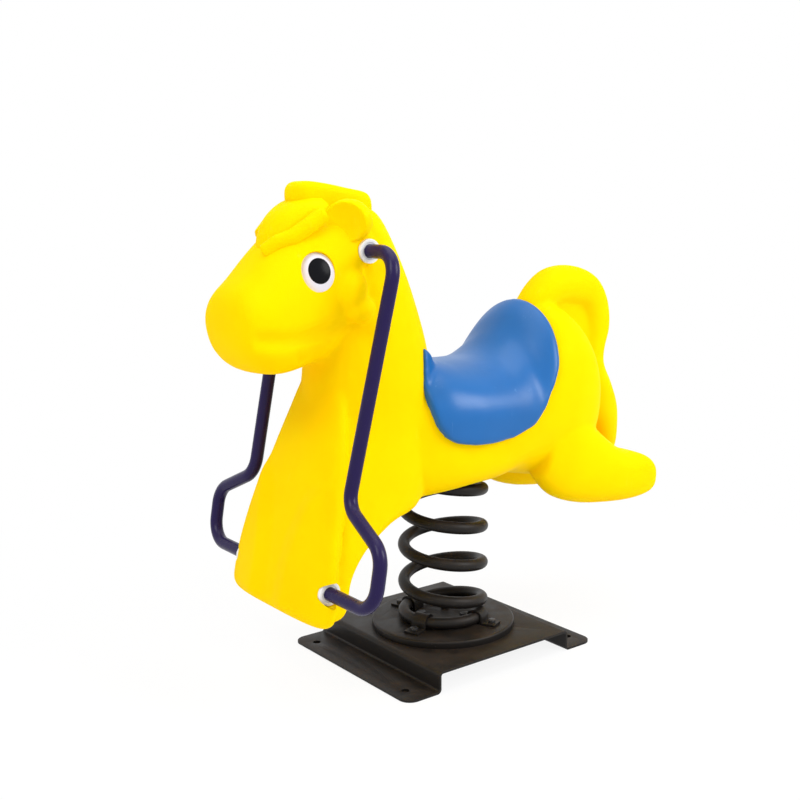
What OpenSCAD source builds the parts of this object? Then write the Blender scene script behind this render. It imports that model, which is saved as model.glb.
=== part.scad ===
// Spring rider: a hollow moulded pony with a saddle and two bent side bars, carried by one coil spring
// on a folded steel base that is bolted to the ground.
// Millimetres. +X towards the pony's head, +Y its left side, +Z up. The origin is on the ground, on the
// spring's axis.

/* [Base] */
// Length of the raised deck, along X
deck_l = 297; // [270:1:330]
// Width of the base, along Y
base_w = 351; // [300:1:400]
// Height of the deck's top face
deck_h = 38; // [34:1:60]
// Length of each anchor flange, along X
flange_l = 67; // [56:1:90]
// Thickness of the base sheet
sheet_t = 4; // [3:0.5:6]
// Outside radius of the sheet's bends
bend_r = 8; // [7:0.5:12]
// Corner radius of the anchor flanges
corner_r = 22; // [10:1:30]
// Diameter of the anchor holes
anchor_d = 14; // [10:0.5:18]
// Distance of an anchor hole from the flange's end
anchor_inset = 26; // [18:1:32]
// Spacing of the anchor holes, along Y
anchor_span = 270; // [220:1:290]

/* [Spring] */
// Diameter of the spring wire
wire_d = 21.5; // [18:0.5:22]
// Diameter of the coil at the middle of its wire
coil_d = 143; // [135:1:150]
// Rise of one free turn
pitch = 69; // [66:0.5:76]
// Number of free turns between the two flat end turns
free_turns = 4; // [3:1:5]
// Angle that each flat end turn covers
flat_turn = 226; // [200:1:228]
// Direction in which the lower end of the wire points, seen from above
wire_start = 132; // [0:1:359]

/* [Spring plates] */
// Diameter of the disc under the spring
disc_d = 262; // [240:1:280]
// Thickness of the disc under the spring
disc_t = 13; // [10:0.5:16]
// Radius on the disc's upper edge
disc_edge = 4; // [1:0.5:5]
// Diameter of the plate on top of the spring
plate_d = 182; // [172:1:186]
// Thickness of the plate on top of the spring
plate_t = 8; // [6:0.5:10]
// Thickness of the backing plate inside the pony
backing_t = 6; // [4:0.5:8]
// Diameter of the backing plate inside the pony
backing_d = 140; // [120:1:160]

/* [Fasteners] */
// Bolt circle of the bolts through each spring plate
bolt_circle = 80; // [64:1:84]
// Diameter of the plate bolts
bolt_d = 10; // [8:1:12]
// Diameter of the clip bolts
clip_bolt_d = 8; // [6:1:10]
// Diameter of the saddle bolts
saddle_bolt_d = 8; // [6:1:10]
// Number of clips that hold each end of the spring
clip_count = 3; // [2:1:3]
// Thickness of a clip
clip_t = 4; // [3:0.5:4.5]
// Width of a clip
clip_w = 28; // [22:1:32]

/* [Pony] */
// Wall thickness of the moulding
wall = 8; // [7:0.5:9]
// Width of the head at the eyes
head_w = 168; // [156:1:180]
// Width of the neck
neck_w = 176; // [164:1:188]
// Width across the front legs at the bottom
leg_w = 298; // [284:1:308]
// Width of the front legs behind their front plate
leg_body_w = 258; // [248:1:268]
// Width of the trunk
trunk_w = 256; // [250:1:272]
// Width across the hind legs
hind_w = 296; // [280:1:310]
// Width of the tail
tail_w = 86; // [70:1:100]
// How far the belly hangs below the face that rests on the spring
belly_drop = 38; // [34:1:42]
// Width of the saddle
saddle_w = 292; // [284:1:308]
// Diameter of an eye
eye_d = 58; // [48:1:60]
// Diameter of a pupil
pupil_d = 38; // [28:1:42]

/* [Side bars] */
// Outside diameter of the bars
bar_d = 22; // [18:0.5:25]
// Wall thickness of the bars
bar_wall = 2; // [1.5:0.5:2.5]
// Distance between the two bars at their upper bends
grip_span = 314; // [306:1:340]
// Distance between the two bars at the knees above the foot rests
knee_span = 287; // [275:1:310]
// Distance between the two foot rests
foot_span = 497; // [460:1:530]
// Bend radius of the bars at the middle of the tube
bar_bend = 40; // [34:1:45]
// Diameter of the white collars
collar_d = 38; // [34:1:42]
// Thickness of a collar's flange
collar_t = 6; // [4:0.5:8]

/* [Fits] */
// Radial room between a bolt and its hole
bolt_room = 0.4; // [0.2:0.1:0.8]
// Radial room of parts that slide together
slide_room = 0.2; // [0.1:0.05:0.3]
// Gap between the saddle and the moulding
saddle_room = 0.4; // [0.3:0.1:0.8]
// Room between the spring wire and its plates
wire_room = 0.3; // [0.3:0.1:0.6]
// Room between the spring wire and its clips
clip_room = 0.6; // [0.5:0.1:0.8]

/* [Hidden] */
$fn = 48;
eps = 0.01;

// Heights, from the ground up
disc_top = deck_h + disc_t;
coil_rise = pitch * free_turns;
wire_rise = wire_d / 2 + wire_room;
coil_low = disc_top + wire_rise;
plate_low = coil_low + coil_rise + wire_rise;
rider_z = plate_low + plate_t;

// Base
flange_end = deck_l / 2 + flange_l;
anchor_x = flange_end - anchor_inset;
anchor_y = anchor_span / 2;

// Bolts: a head or nut is as wide and as high as the shank asks
head_w_share = 1.85;
head_h_share = 0.65;
nut_h_share = 0.8;
function head_w_of(d) = head_w_share * d;
function head_h_of(d) = head_h_share * d;
function nut_h_of(d) = nut_h_share * d;
function hole_r(d) = d / 2 + bolt_room;
thread_room = 0.05;
thread_past_nut = 3;
base_bolt_count = 4;
bolt_turn = 45;

// Spring wire
wire_r = wire_d / 2;
coil_r = coil_d / 2;
wire_sides = 12;
wire_step = 10;
wire_turned = 2 * flat_turn + 360 * free_turns;
wire_rings = ceil(wire_turned / wire_step);

// Clips: the first sits near the wire's end, the rest follow along the flat turn and stop short of the rise
clip_from_end = 18;
clip_from_rise = 20;
clip_spread = (flat_turn - clip_from_end - clip_from_rise) / (clip_count - 1);
clip_in = wire_r + clip_room;
clip_out = clip_in + clip_t;
clip_foot_share = 3;
clip_foot = clip_foot_share * clip_bolt_d;
clip_arc = 90;
clip_bolt_out = coil_r + clip_out + clip_foot / 2;
clip_bolt_in = coil_r - clip_out - clip_foot / 2;

lower_clip_angles = [for (i = [0 : clip_count - 1]) wire_start - clip_from_end - i * clip_spread];
upper_clip_angles = [for (i = [0 : clip_count - 1])
    wire_start - wire_turned + clip_from_end + i * clip_spread];
// The bolts up into the pony stand midway between the upper clips
clip_open = 360 - (clip_count - 1) * clip_spread;
rider_bolt_angles = [for (i = [0 : clip_count - 1])
    upper_clip_angles[i] + (i < clip_count - 1 ? clip_spread : clip_open) / 2];

// Pony: heights are measured from the face that its spring plate bears on
head_half = head_w / 2;
neck_half = neck_w / 2;
leg_half = leg_w / 2;
leg_body_half = leg_body_w / 2;
trunk_half = trunk_w / 2;
hind_half = hind_w / 2;
tail_half = tail_w / 2;
saddle_half = saddle_w / 2;
pocket_room = 6;
pocket_r = plate_d / 2 + pocket_room;
hind_leg_half = 58;
trunk_top = 150;
hind_leg_y = hind_half - hind_leg_half;

// Ribs of the moulding. Each is [x, z, x, z, half width, squareness]: the two ends of the rib on the
// middle plane, its half width across, and 2 for an ellipse or more for a squarer outline.
neck_ribs = [
    [238, 425, 176, 436, neck_half - 42, 2.2],
    [250, 385, 146, 418, neck_half - 22, 2.2],
    [254, 320, 113, 356, neck_half - 8, 2.3],
    [263, 240, 82, 278, neck_half, 2.4],
    [273, 160, 58, 190, neck_half + 7, 2.5],
    [279, 85, 56, 80, neck_half + 15, 2.7],
    [290, 30, 98, -33 - belly_drop / 2, neck_half + 24, 3.0],
    [299, -25, 174, -78, leg_body_half - 8, 3.2],
    [312, -85, 240, -108, leg_body_half - 1, 3.4],
    [328, -140, 280, -146, leg_body_half, 3.6],
    [340, -190, 294, -190, leg_body_half + 4, 3.8],
    [338, -207, 304, -207, leg_body_half - 6, 3.8],
];
leg_ribs = [
    [256, 182, 230, 178, neck_half - 48, 2.4],
    [272, 144, 236, 138, neck_half - 26, 2.5],
    [285, 108, 242, 102, neck_half - 9, 2.6],
    [300, 66, 250, 58, neck_half + 5, 2.8],
    [316, 4, 268, -8, leg_half - 41, 2.9],
    [336, -60, 288, -70, leg_half - 20, 2.8],
    [350, -120, 304, -126, leg_half - 6, 2.7],
    [361, -172, 310, -174, leg_half, 2.8],
    [364, -196, 312, -197, leg_half - 2, 3.2],
    [353, -211, 320, -211, leg_half - 18, 3.6],
];
trunk_ribs = [
    [196, 118, 176, 6 - belly_drop, trunk_half - 54, 2.6],
    [150, 140, 148, -20 - belly_drop, trunk_half - 34, 2.8],
    [88, 148, 92, -18 - belly_drop, trunk_half - 12, 3.2],
    [20, trunk_top, 20, -11 - belly_drop, trunk_half - 2, 3.6],
    [-48, trunk_top + 2, -45, -7 - belly_drop, trunk_half, 3.4],
    [-108, 164, -100, -6 - belly_drop, trunk_half, 2.5],
    [-152, 214, -150, -18 - belly_drop, trunk_half, 2.3],
    [-196, 256, -190, -24 - belly_drop, trunk_half + 1, 2.5],
    [-238, 256, -225, -24 - belly_drop, trunk_half, 2.5],
    [-284, 216, -262, -12 - belly_drop, trunk_half - 10, 2.5],
    [-318, 150, -300, 20 - belly_drop, trunk_half - 38, 2.4],
    [-336, 100, -326, 68 - belly_drop, trunk_half - 76, 2.4],
    [-340, 80, -336, 88 - belly_drop, trunk_half - 104, 2.2],
];
hind_ribs = [
    [-190, 92, -150, -52, hind_leg_half - 30, 2.4],
    [-234, 70, -186, -88, hind_leg_half - 18, 2.4],
    [-290, 22, -240, -110, hind_leg_half - 8, 2.5],
    [-338, -14, -302, -119, hind_leg_half - 2, 2.7],
    [-384, -29, -362, -122, hind_leg_half, 2.9],
    [-414, -40, -408, -117, hind_leg_half - 3, 3],
    [-425, -54, -424, -104, hind_leg_half - 12, 3],
    [-428, -68, -428, -90, hind_leg_half - 28, 2.6],
];
hind_web_ribs = [
    [-190, 80, -160, -40, hind_leg_half, 3],
    [-260, 36, -230, -76, hind_leg_half, 3],
    [-330, -30, -310, -96, hind_leg_half, 3],
    [-385, -52, -375, -100, hind_leg_half, 3],
    [-398, -62, -396, -92, hind_leg_half - 10, 3],
];
head_ribs = [
    [430, 264, 430, 246, 16, 2.2],
    [427, 285, 417, 221, head_half - 31, 2.3],
    [416, 305, 393, 196, head_half - 11, 2.4],
    [390, 327, 352, 180, head_half + 1, 2.4],
    [358, 362, 312, 184, head_half + 1, 2.4],
    [325, 398, 268, 200, head_half, 2.4],
    [284, 424, 228, 226, head_half, 2.4],
    [234, 436, 194, 262, head_half, 2.3],
    [196, 430, 168, 310, head_half - 18, 2.2],
    [176, 412, 156, 348, head_half - 42, 2.2],
];
crest_ribs = [
    [308, 446, 286, 400, 22, 2.6],
    [293, 472, 270, 390, 34, 3],
    [255, 472, 240, 390, 38, 3.2],
    [214, 465, 209, 380, 38, 3.2],
    [186, 455, 188, 370, 34, 3],
    [172, 432, 176, 370, 24, 2.6],
];
tail_ribs = [
    [-178, 262, -204, 208, tail_half - 10, 2.2],
    [-212, 298, -236, 240, tail_half - 4, 2.2],
    [-261, 322, -269, 252, tail_half, 2.2],
    [-315, 324, -304, 248, tail_half + 1, 2.2],
    [-365, 304, -324, 240, tail_half + 1, 2.2],
    [-394, 262, -334, 222, tail_half, 2.2],
    [-402, 210, -338, 190, tail_half - 1, 2.2],
    [-390, 166, -330, 152, tail_half - 2, 2.2],
    [-386, 134, -326, 124, tail_half - 1, 2.2],
    [-404, 96, -340, 84, tail_half + 1, 2.2],
    [-424, 50, -348, 40, tail_half + 1, 2.2],
    [-425, 6, -366, 0, tail_half - 4, 2.2],
    [-420, -32, -374, -36, tail_half - 16, 2.2],
    [-408, -50, -386, -52, tail_half - 30, 2.2],
];
tail_web_ribs = [
    [-232, 262, -236, 210, 20, 2.4],
    [-262, 292, -256, 220, 24, 2.4],
    [-312, 290, -284, 200, 24, 2.4],
    [-348, 262, -300, 176, 24, 2.4],
    [-364, 216, -306, 150, 24, 2.4],
    [-358, 160, -306, 118, 22, 2.4],
    [-350, 120, -306, 96, 18, 2.4],
];
// Lumps of the moulding: [centre, radii, turn about Y]
forelock = [[318, 0, 408], [62, 50, 32], 52];
ear = [[234, head_half - 18, 420], [38, 28, 32], 24];
cheek = [[228, head_half - 18, 282], [36, 31, 40], 0];
jowl = [[244, head_half - 11, 314], [20, 15, 26], -20];

saddle_ribs = [
    [114, 130, 110, 78, saddle_half - 22, 2.4],
    [107, 172, 98, 44, saddle_half - 12, 2.4],
    [80, 188, 76, 18, saddle_half - 4, 2.3],
    [44, 182, 42, 8, saddle_half - 1, 2.2],
    [18, 175, 18, 4, saddle_half, 2.1],
    [-40, 172, -40, 4, saddle_half, 2.1],
    [-70, 178, -70, 2, saddle_half - 1, 2.0],
    [-95, 192, -95, 0, saddle_half - 2, 1.8],
    [-120, 215, -120, -2, saddle_half - 4, 1.62],
    [-145, 240, -145, 2, saddle_half - 8, 1.58],
    [-165, 257, -163, 40, saddle_half - 14, 1.7],
    [-180, 264, -176, 96, saddle_half - 22, 1.95],
    [-188, 250, -184, 140, saddle_half - 38, 2.0],
    [-191, 226, -189, 176, saddle_half - 66, 2.0],
];
rib_sides = 20;
rib_steps = 2;
bore_sides = 12;
bore_steps = 1;

// Saddle fixing: two bolts up through the flat of the trunk under the seat
saddle_bolt_x = [6, -34];
spot_depth = 5;
saddle_flat = trunk_top - spot_depth;
insert_r = 7;
insert_h = 14;
insert_above = 2;
insert_floor = 1;
insert_z = trunk_top + insert_above;
insert_top = insert_z + insert_h;
bolt_short = 2;

// Side bars, from the upper end round to the lower end, for the left side
bar_r = bar_d / 2;
bar_bore_r = bar_r - bar_wall;
grip_y = grip_span / 2;
knee_y = knee_span / 2;
foot_y = foot_span / 2;
collar_cut = 3;
collar_room = 1;
upper_seat_y = head_half - collar_cut;
lower_seat_y = leg_body_half - collar_cut;
upper_bar = [215, 366];
lower_bar = [331, -154];
knee = [302, -16];
foot_bend = [315, -64];
tube_in = 34;
bore_past = 1;
bar_route = [
    [upper_bar[0], upper_seat_y - tube_in, upper_bar[1]],
    [upper_bar[0], grip_y, upper_bar[1]],
    [knee[0], knee_y, knee[1]],
    [foot_bend[0], foot_y, foot_bend[1]],
    [lower_bar[0], foot_y, lower_bar[1]],
    [lower_bar[0], lower_seat_y - tube_in, lower_bar[1]],
];
sleeve_wall = 3;
sleeve_r = bar_r + slide_room + sleeve_wall;
sleeve_l = 12;
collar_round = 2.5;
pin_d = 5;
pin_from_end = 12;
rod_into_tube = 26;

// Eyes: a domed disc on a flat of the head, with a stud through the wall
eye_at = [303, head_half - 9, 334];
eye_yaw = 14;
eye_pitch = 14;
eye_h = 7;
eye_stud_r = 6;
eye_stud_past = 8;
eye_stud_l = wall + eye_stud_past;
pupil_sink = 1.5;
pupil_h = 5;
pupil_stud_r = 3;
pupil_stud_l = 5;
pupil_stud_room = 1;

// Curve through four neighbours, at t from 0 to 1 between the middle two
function through(p, q, r, s, t) =
    0.5 * (2 * q + (r - p) * t + (2 * p - 5 * q + 4 * r - s) * t * t + (3 * q - p - 3 * r + s) * t * t * t);

// A list of ribs with smooth ones put between them
function smooth(ribs, steps) = let (last = len(ribs) - 1)
    [for (i = [0 : last]) for (k = [0 : i < last ? steps - 1 : 0])
        through(ribs[max(i - 1, 0)], ribs[i], ribs[min(i + 1, last)], ribs[min(i + 2, last)], k / steps)];

// Signed power, for squared ellipses
function swell(v, e) = sign(v) * pow(abs(v), 2 / e);

// The outline of one rib, shrunk by an inset (or grown by a negative one)
function outline(rib, inset, sides) = let (
    mid = [rib[0] + rib[2], rib[1] + rib[3]] / 2,
    half = [rib[0] - rib[2], rib[1] - rib[3]] / 2,
    reach = norm(half),
    keep = max(reach - inset, 1) / reach,
    across = max(rib[4] - inset, 1))
    [for (k = [0 : sides - 1]) let (
        a = 360 * k / sides,
        u = keep * swell(cos(a), rib[5]),
        v = across * swell(sin(a), rib[5]))
        [mid[0] + half[0] * u, v, mid[1] + half[1] * u]];

// Points and triangles of a skin over rings with the same number of points, closed at both ends
function skin_points(rings) = [for (r = rings) for (p = r) p];
function skin_faces(count, sides) = concat(
    [for (i = [0 : count - 2]) for (k = [0 : sides - 1])
        let (a = i * sides, b = a + sides, n = (k + 1) % sides)
        each [[a + k, b + n, a + n], [a + k, b + k, b + n]]],
    [for (k = [1 : sides - 2]) [0, k, k + 1]],
    [for (k = [1 : sides - 2]) let (e = (count - 1) * sides) [e, e + k + 1, e + k]]);

module skin(rings) {
    polyhedron(skin_points(rings), skin_faces(len(rings), len(rings[0])));
}

// One moulded form over its ribs. An inset form leaves out its end ribs, so that the ends keep a wall.
module form(ribs, inset, flip = false) {
    sides = inset > 0 ? bore_sides : rib_sides;
    drawn = inset > 0 ? [for (i = [1 : len(ribs) - 2]) ribs[i]] : ribs;
    ordered = flip ? [for (i = [len(drawn) - 1 : -1 : 0]) drawn[i]] : drawn;
    skin([for (rib = smooth(ordered, inset > 0 ? bore_steps : rib_steps)) outline(rib, inset, sides)]);
}

// An egg shape, turned about Y, with a small flat at each end
lump_rings = 6;
lump_sides = 12;
lump_cap = 6;
module lump(shape) {
    translate(shape[0])
        rotate([0, shape[2], 0])
            skin([for (i = [0 : lump_rings]) let (t = lump_cap + (180 - 2 * lump_cap) * i / lump_rings)
                [for (k = [0 : lump_sides - 1]) let (a = 360 * k / lump_sides)
                    [shape[1][0] * sin(t) * cos(a), shape[1][1] * sin(t) * sin(a), -shape[1][2] * cos(t)]]]);
}

module both_sides() {
    children();
    mirror([0, 1, 0]) children();
}

module on_side(side) {
    mirror([0, side < 0 ? 1 : 0, 0]) children();
}

// The pony's forms as one mesh, at an inset from the outside
module pony(inset) {
    minkowski() {
        union() {
            form(neck_ribs, inset, true);
            form(trunk_ribs, inset);
            form(head_ribs, inset);
            both_sides() translate([0, hind_leg_y, 0]) form(hind_ribs, inset);
            form(tail_ribs, inset);
            if (inset <= 0) {
                form(leg_ribs, inset, true);
                form(hind_web_ribs, inset);
                form(crest_ribs, inset);
                form(tail_web_ribs, inset);
                lump(forelock);
                both_sides() {
                    lump(ear);
                    lump(cheek);
                    lump(jowl);
                }
            }
        }
    }
}

// Tube or rod along a route, with true bends. A bend is a hair thinner than the straights and runs a little
// way into them, so that the two meet on the straights' end faces alone.
bend_thinner = 0.05;
bend_over = 1.5;
steep = 0.9;
function unit(v) = v / norm(v);
function turn_between(a, b) = acos(max(-1, min(1, a * b)));
module cylinder_between(a, b, r) {
    d = unit(b - a);
    side = unit(cross(abs(d[2]) > steep ? [1, 0, 0] : [0, 0, 1], d));
    up = cross(d, side);
    multmatrix([for (i = [0 : 2]) [side[i], up[i], d[i], a[i]]]) cylinder(h = norm(b - a), r = r);
}
module bend_at(corner, along, out, r, bend) {
    turn = turn_between(along, out);
    inward = unit(out - along * (along * out));
    start = corner - along * (bend * tan(turn / 2));
    centre = start + inward * bend;
    axis = cross(along, inward);
    multmatrix([for (i = [0 : 2]) [-inward[i], along[i], axis[i], centre[i]]])
        rotate([0, 0, -bend_over]) rotate_extrude(angle = turn + 2 * bend_over)
            translate([bend, 0]) circle(r - bend_thinner);
}
module bent_rod(route, r, bend, past = 0) {
    last = len(route) - 1;
    dirs = [for (i = [0 : last - 1]) unit(route[i + 1] - route[i])];
    cut = [for (i = [0 : last])
        i == 0 || i == last ? -past : bend * tan(turn_between(dirs[i - 1], dirs[i]) / 2)];
    for (i = [0 : last - 1])
        cylinder_between(route[i] + dirs[i] * cut[i], route[i + 1] - dirs[i] * cut[i + 1], r);
    for (i = [1 : last - 1])
        bend_at(route[i], dirs[i - 1], dirs[i], r, bend);
}

// Copies on a circle
module around(count, radius, first = 0) {
    for (i = [0 : count - 1])
        rotate([0, 0, first + 360 * i / count]) translate([radius, 0, 0]) children();
}

module at_base_bolts() {
    around(base_bolt_count, bolt_circle / 2, bolt_turn) children();
}
module at_rider_bolts() {
    for (a = rider_bolt_angles)
        rotate([0, 0, a]) translate([bolt_circle / 2, 0, 0]) children();
}

// Bolt with its head on the plane z = 0 and its shank below
module bolt(d, l) {
    cylinder(h = head_h_of(d), d = head_w_of(d), $fn = 6);
    translate([0, 0, -l]) cylinder(h = l + eps, d = d);
}
module nut(d) {
    difference() {
        cylinder(h = nut_h_of(d), d = head_w_of(d), $fn = 6);
        translate([0, 0, -eps]) cylinder(h = nut_h_of(d) + 2 * eps, r = d / 2 + thread_room);
    }
}

// Half of the folded sheet's section, from the middle of the deck to the flange's end
module quarter_ring(r, t, sx, sy) {
    intersection() {
        difference() {
            circle(r);
            circle(r - t);
        }
        translate([sx > 0 ? 0 : -r, sy > 0 ? 0 : -r]) square(r);
    }
}
module half_section() {
    web_x = deck_l / 2;
    toe_x = web_x - sheet_t + bend_r;
    translate([-eps, deck_h - sheet_t]) square([web_x - bend_r + eps, sheet_t]);
    translate([web_x - bend_r, deck_h - bend_r]) quarter_ring(bend_r, sheet_t, 1, 1);
    translate([web_x - sheet_t, bend_r]) square([sheet_t, deck_h - 2 * bend_r]);
    translate([toe_x, bend_r]) quarter_ring(bend_r, sheet_t, -1, -1);
    translate([toe_x, 0]) square([flange_end - toe_x, sheet_t]);
}
module corner_cut() {
    difference() {
        translate([-corner_r, -corner_r]) square(2 * corner_r);
        translate([-corner_r, -corner_r]) circle(corner_r);
        translate([-2 * corner_r, -2 * corner_r]) square([2 * corner_r, corner_r]);
        translate([-2 * corner_r, -2 * corner_r]) square([corner_r, 2 * corner_r]);
    }
}

module base_plate() {
    color([0.25, 0.23, 0.21])
    difference() {
        rotate([90, 0, 0]) linear_extrude(height = base_w, center = true) {
            half_section();
            mirror([1, 0]) half_section();
        }
        for (sx = [-1, 1]) for (sy = [-1, 1]) {
            translate([sx * anchor_x, sy * anchor_y, -eps]) cylinder(h = sheet_t + 2 * eps, d = anchor_d);
            translate([sx * flange_end, sy * base_w / 2, -eps])
                mirror([sx < 0 ? 1 : 0, 0]) mirror([0, sy < 0 ? 1 : 0])
                    linear_extrude(height = sheet_t + 2 * eps) corner_cut();
        }
        at_base_bolts()
            translate([0, 0, deck_h - 2 * sheet_t]) cylinder(h = 3 * sheet_t, r = hole_r(bolt_d));
    }
}

module lower_spring_disc() {
    color([0.27, 0.25, 0.23])
    difference() {
        translate([0, 0, deck_h]) rotate_extrude() {
            square([disc_d / 2 - disc_edge, disc_t]);
            square([disc_d / 2, disc_t - disc_edge]);
            translate([disc_d / 2 - disc_edge, disc_t - disc_edge]) quarter_ring(disc_edge, disc_edge, 1, 1);
        }
        at_base_bolts()
            translate([0, 0, deck_h - eps]) cylinder(h = disc_t + 2 * eps, r = hole_r(bolt_d));
        for (a = lower_clip_angles)
            rotate([0, 0, a]) translate([clip_bolt_out, 0, deck_h - eps])
                cylinder(h = disc_t + 2 * eps, r = clip_bolt_d / 2 + thread_room);
    }
}

base_bolt_l = disc_t + sheet_t + nut_h_of(bolt_d) + thread_past_nut;
module base_bolts() {
    color([0.3, 0.3, 0.31])
    at_base_bolts() translate([0, 0, disc_top]) bolt(bolt_d, base_bolt_l);
}
module base_nuts() {
    color([0.33, 0.33, 0.34])
    at_base_bolts()
        translate([0, 0, deck_h - sheet_t - nut_h_of(bolt_d)]) nut(bolt_d);
}

// Section of a clip over the wire, at the coil's radius, standing on z = 0; foot is 1 outside, -1 inside
module clip_section(foot) {
    translate([coil_r, wire_rise]) {
        intersection() {
            difference() {
                circle(clip_out);
                circle(clip_in);
            }
            translate([-clip_out, 0]) square([2 * clip_out, clip_out]);
        }
        for (s = [-1, 1])
            translate([s > 0 ? clip_in : -clip_out, -wire_rise]) square([clip_t, wire_rise]);
        translate([foot > 0 ? clip_in : -clip_out - clip_foot, -wire_rise])
            square([clip_foot + clip_t, clip_t]);
    }
}
module clip(foot) {
    bolt_x = foot > 0 ? clip_bolt_out : clip_bolt_in;
    difference() {
        intersection() {
            rotate([0, 0, -clip_arc / 2]) rotate_extrude(angle = clip_arc) clip_section(foot);
            translate([0, -clip_w / 2, -eps]) cube([2 * coil_r, clip_w, 2 * clip_out]);
        }
        translate([bolt_x, 0, -eps]) cylinder(h = clip_t + 2 * eps, r = hole_r(clip_bolt_d));
    }
}

module lower_spring_clips() {
    color([0.2, 0.19, 0.18])
    for (a = lower_clip_angles) rotate([0, 0, a]) translate([0, 0, disc_top]) clip(1);
}
module lower_clip_bolts() {
    color([0.33, 0.33, 0.34])
    for (a = lower_clip_angles)
        rotate([0, 0, a]) translate([clip_bolt_out, 0, disc_top + clip_t]) bolt(clip_bolt_d, clip_t + disc_t);
}

// Middle of the wire at an angle counted from its lower end; the coil winds to the left as it climbs
function wire_height(a) = coil_low + pitch * max(0, min(free_turns, (a - flat_turn) / 360));
function wire_point(a) = let (b = wire_start - a) [coil_r * cos(b), coil_r * sin(b), wire_height(a)];
function wire_ring(a) = let (
    p = wire_point(a),
    b = wire_start - a,
    along = unit(wire_point(a + 1) - wire_point(a - 1)),
    out = [cos(b), sin(b), 0],
    up = cross(along, out))
    [for (k = [0 : wire_sides - 1]) let (t = 360 * k / wire_sides) p + wire_r * (cos(t) * out + sin(t) * up)];

module coil_spring() {
    color([0.18, 0.16, 0.15])
    skin([for (i = [0 : wire_rings]) wire_ring(wire_turned * i / wire_rings)]);
}
// Least gap between the wire and itself, measured between points more than a third of a turn apart
gap_step = 6;
gap_points = [for (a = [0 : gap_step : wire_turned]) wire_point(a)];
gap_skip_angle = 100;
gap_skip = ceil(gap_skip_angle / gap_step);
coil_gap = min([for (i = [0 : len(gap_points) - 1]) for (j = [i + gap_skip : 1 : len(gap_points) - 1])
    norm(gap_points[i] - gap_points[j])]) - wire_d;
echo(coil_gap = coil_gap);

module upper_spring_plate() {
    color([0.27, 0.25, 0.23])
    difference() {
        translate([0, 0, plate_low]) cylinder(h = plate_t, d = plate_d);
        at_rider_bolts()
            translate([0, 0, plate_low - eps]) cylinder(h = plate_t + 2 * eps, r = hole_r(bolt_d));
        for (a = upper_clip_angles)
            rotate([0, 0, a]) translate([clip_bolt_in, 0, plate_low - eps])
                cylinder(h = plate_t + 2 * eps, r = clip_bolt_d / 2 + thread_room);
    }
}
module upper_spring_clips() {
    color([0.2, 0.19, 0.18])
    for (a = upper_clip_angles)
        rotate([0, 0, a]) translate([0, 0, plate_low]) mirror([0, 0, 1]) clip(-1);
}
module upper_clip_bolts() {
    color([0.33, 0.33, 0.34])
    for (a = upper_clip_angles)
        rotate([0, 0, a]) translate([clip_bolt_in, 0, plate_low - clip_t])
            mirror([0, 0, 1]) bolt(clip_bolt_d, clip_t + plate_t);
}

rider_bolt_l = plate_t + wall + backing_t + nut_h_of(bolt_d) + thread_past_nut;
module rider_bolts() {
    color([0.3, 0.3, 0.31])
    at_rider_bolts()
        translate([0, 0, plate_low]) mirror([0, 0, 1]) bolt(bolt_d, rider_bolt_l);
}
module backing_plate() {
    color([0.6, 0.6, 0.62])
    translate([0, 0, rider_z + wall])
    difference() {
        cylinder(h = backing_t, d = backing_d);
        at_rider_bolts()
            translate([0, 0, -eps]) cylinder(h = backing_t + 2 * eps, r = hole_r(bolt_d));
    }
}
module rider_nuts() {
    color([0.33, 0.33, 0.34])
    at_rider_bolts() translate([0, 0, rider_z + wall + backing_t]) nut(bolt_d);
}

// A hole from the middle plane outwards for a bar and its collar's sleeve, with a flat for the flange
module collar_cuts(at, seat_y) {
    translate([at[0], seat_y, at[1]]) rotate([-90, 0, 0]) {
        cylinder(h = 2 * collar_d, d = collar_d + 2 * collar_room);
        translate([0, 0, -seat_y - eps]) cylinder(h = seat_y + wall, r = sleeve_r + slide_room);
    }
}
module eye_place() {
    translate(eye_at) rotate([eye_pitch - 90, 0, -eye_yaw]) children();
}

module body_shell() {
    color([1, 0.86, 0])
    translate([0, 0, rider_z])
    difference() {
        pony(0);
        difference() {
            pony(wall);
            translate([0, 0, -2 * belly_drop]) cylinder(h = 2 * belly_drop + wall, r = pocket_r + wall);
        }
        translate([0, 0, -2 * belly_drop]) cylinder(h = 2 * belly_drop, r = pocket_r);
        at_rider_bolts() translate([0, 0, -eps]) cylinder(h = 2 * wall, r = hole_r(bolt_d));
        for (x = saddle_bolt_x) translate([x, 0, 0]) {
            translate([0, 0, saddle_flat - 2 * wall])
                cylinder(h = 2 * wall, d = 2 * head_w_of(saddle_bolt_d));
            translate([0, 0, saddle_flat - eps]) cylinder(h = 2 * wall, r = hole_r(saddle_bolt_d));
        }
        both_sides() {
            collar_cuts(upper_bar, upper_seat_y);
            collar_cuts(lower_bar, lower_seat_y);
            eye_place() {
                cylinder(h = eye_d, d = eye_d + 2 * slide_room);
                translate([0, 0, -2 * wall]) cylinder(h = 2 * wall + eps, r = eye_stud_r + slide_room);
            }
        }
    }
}

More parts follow.
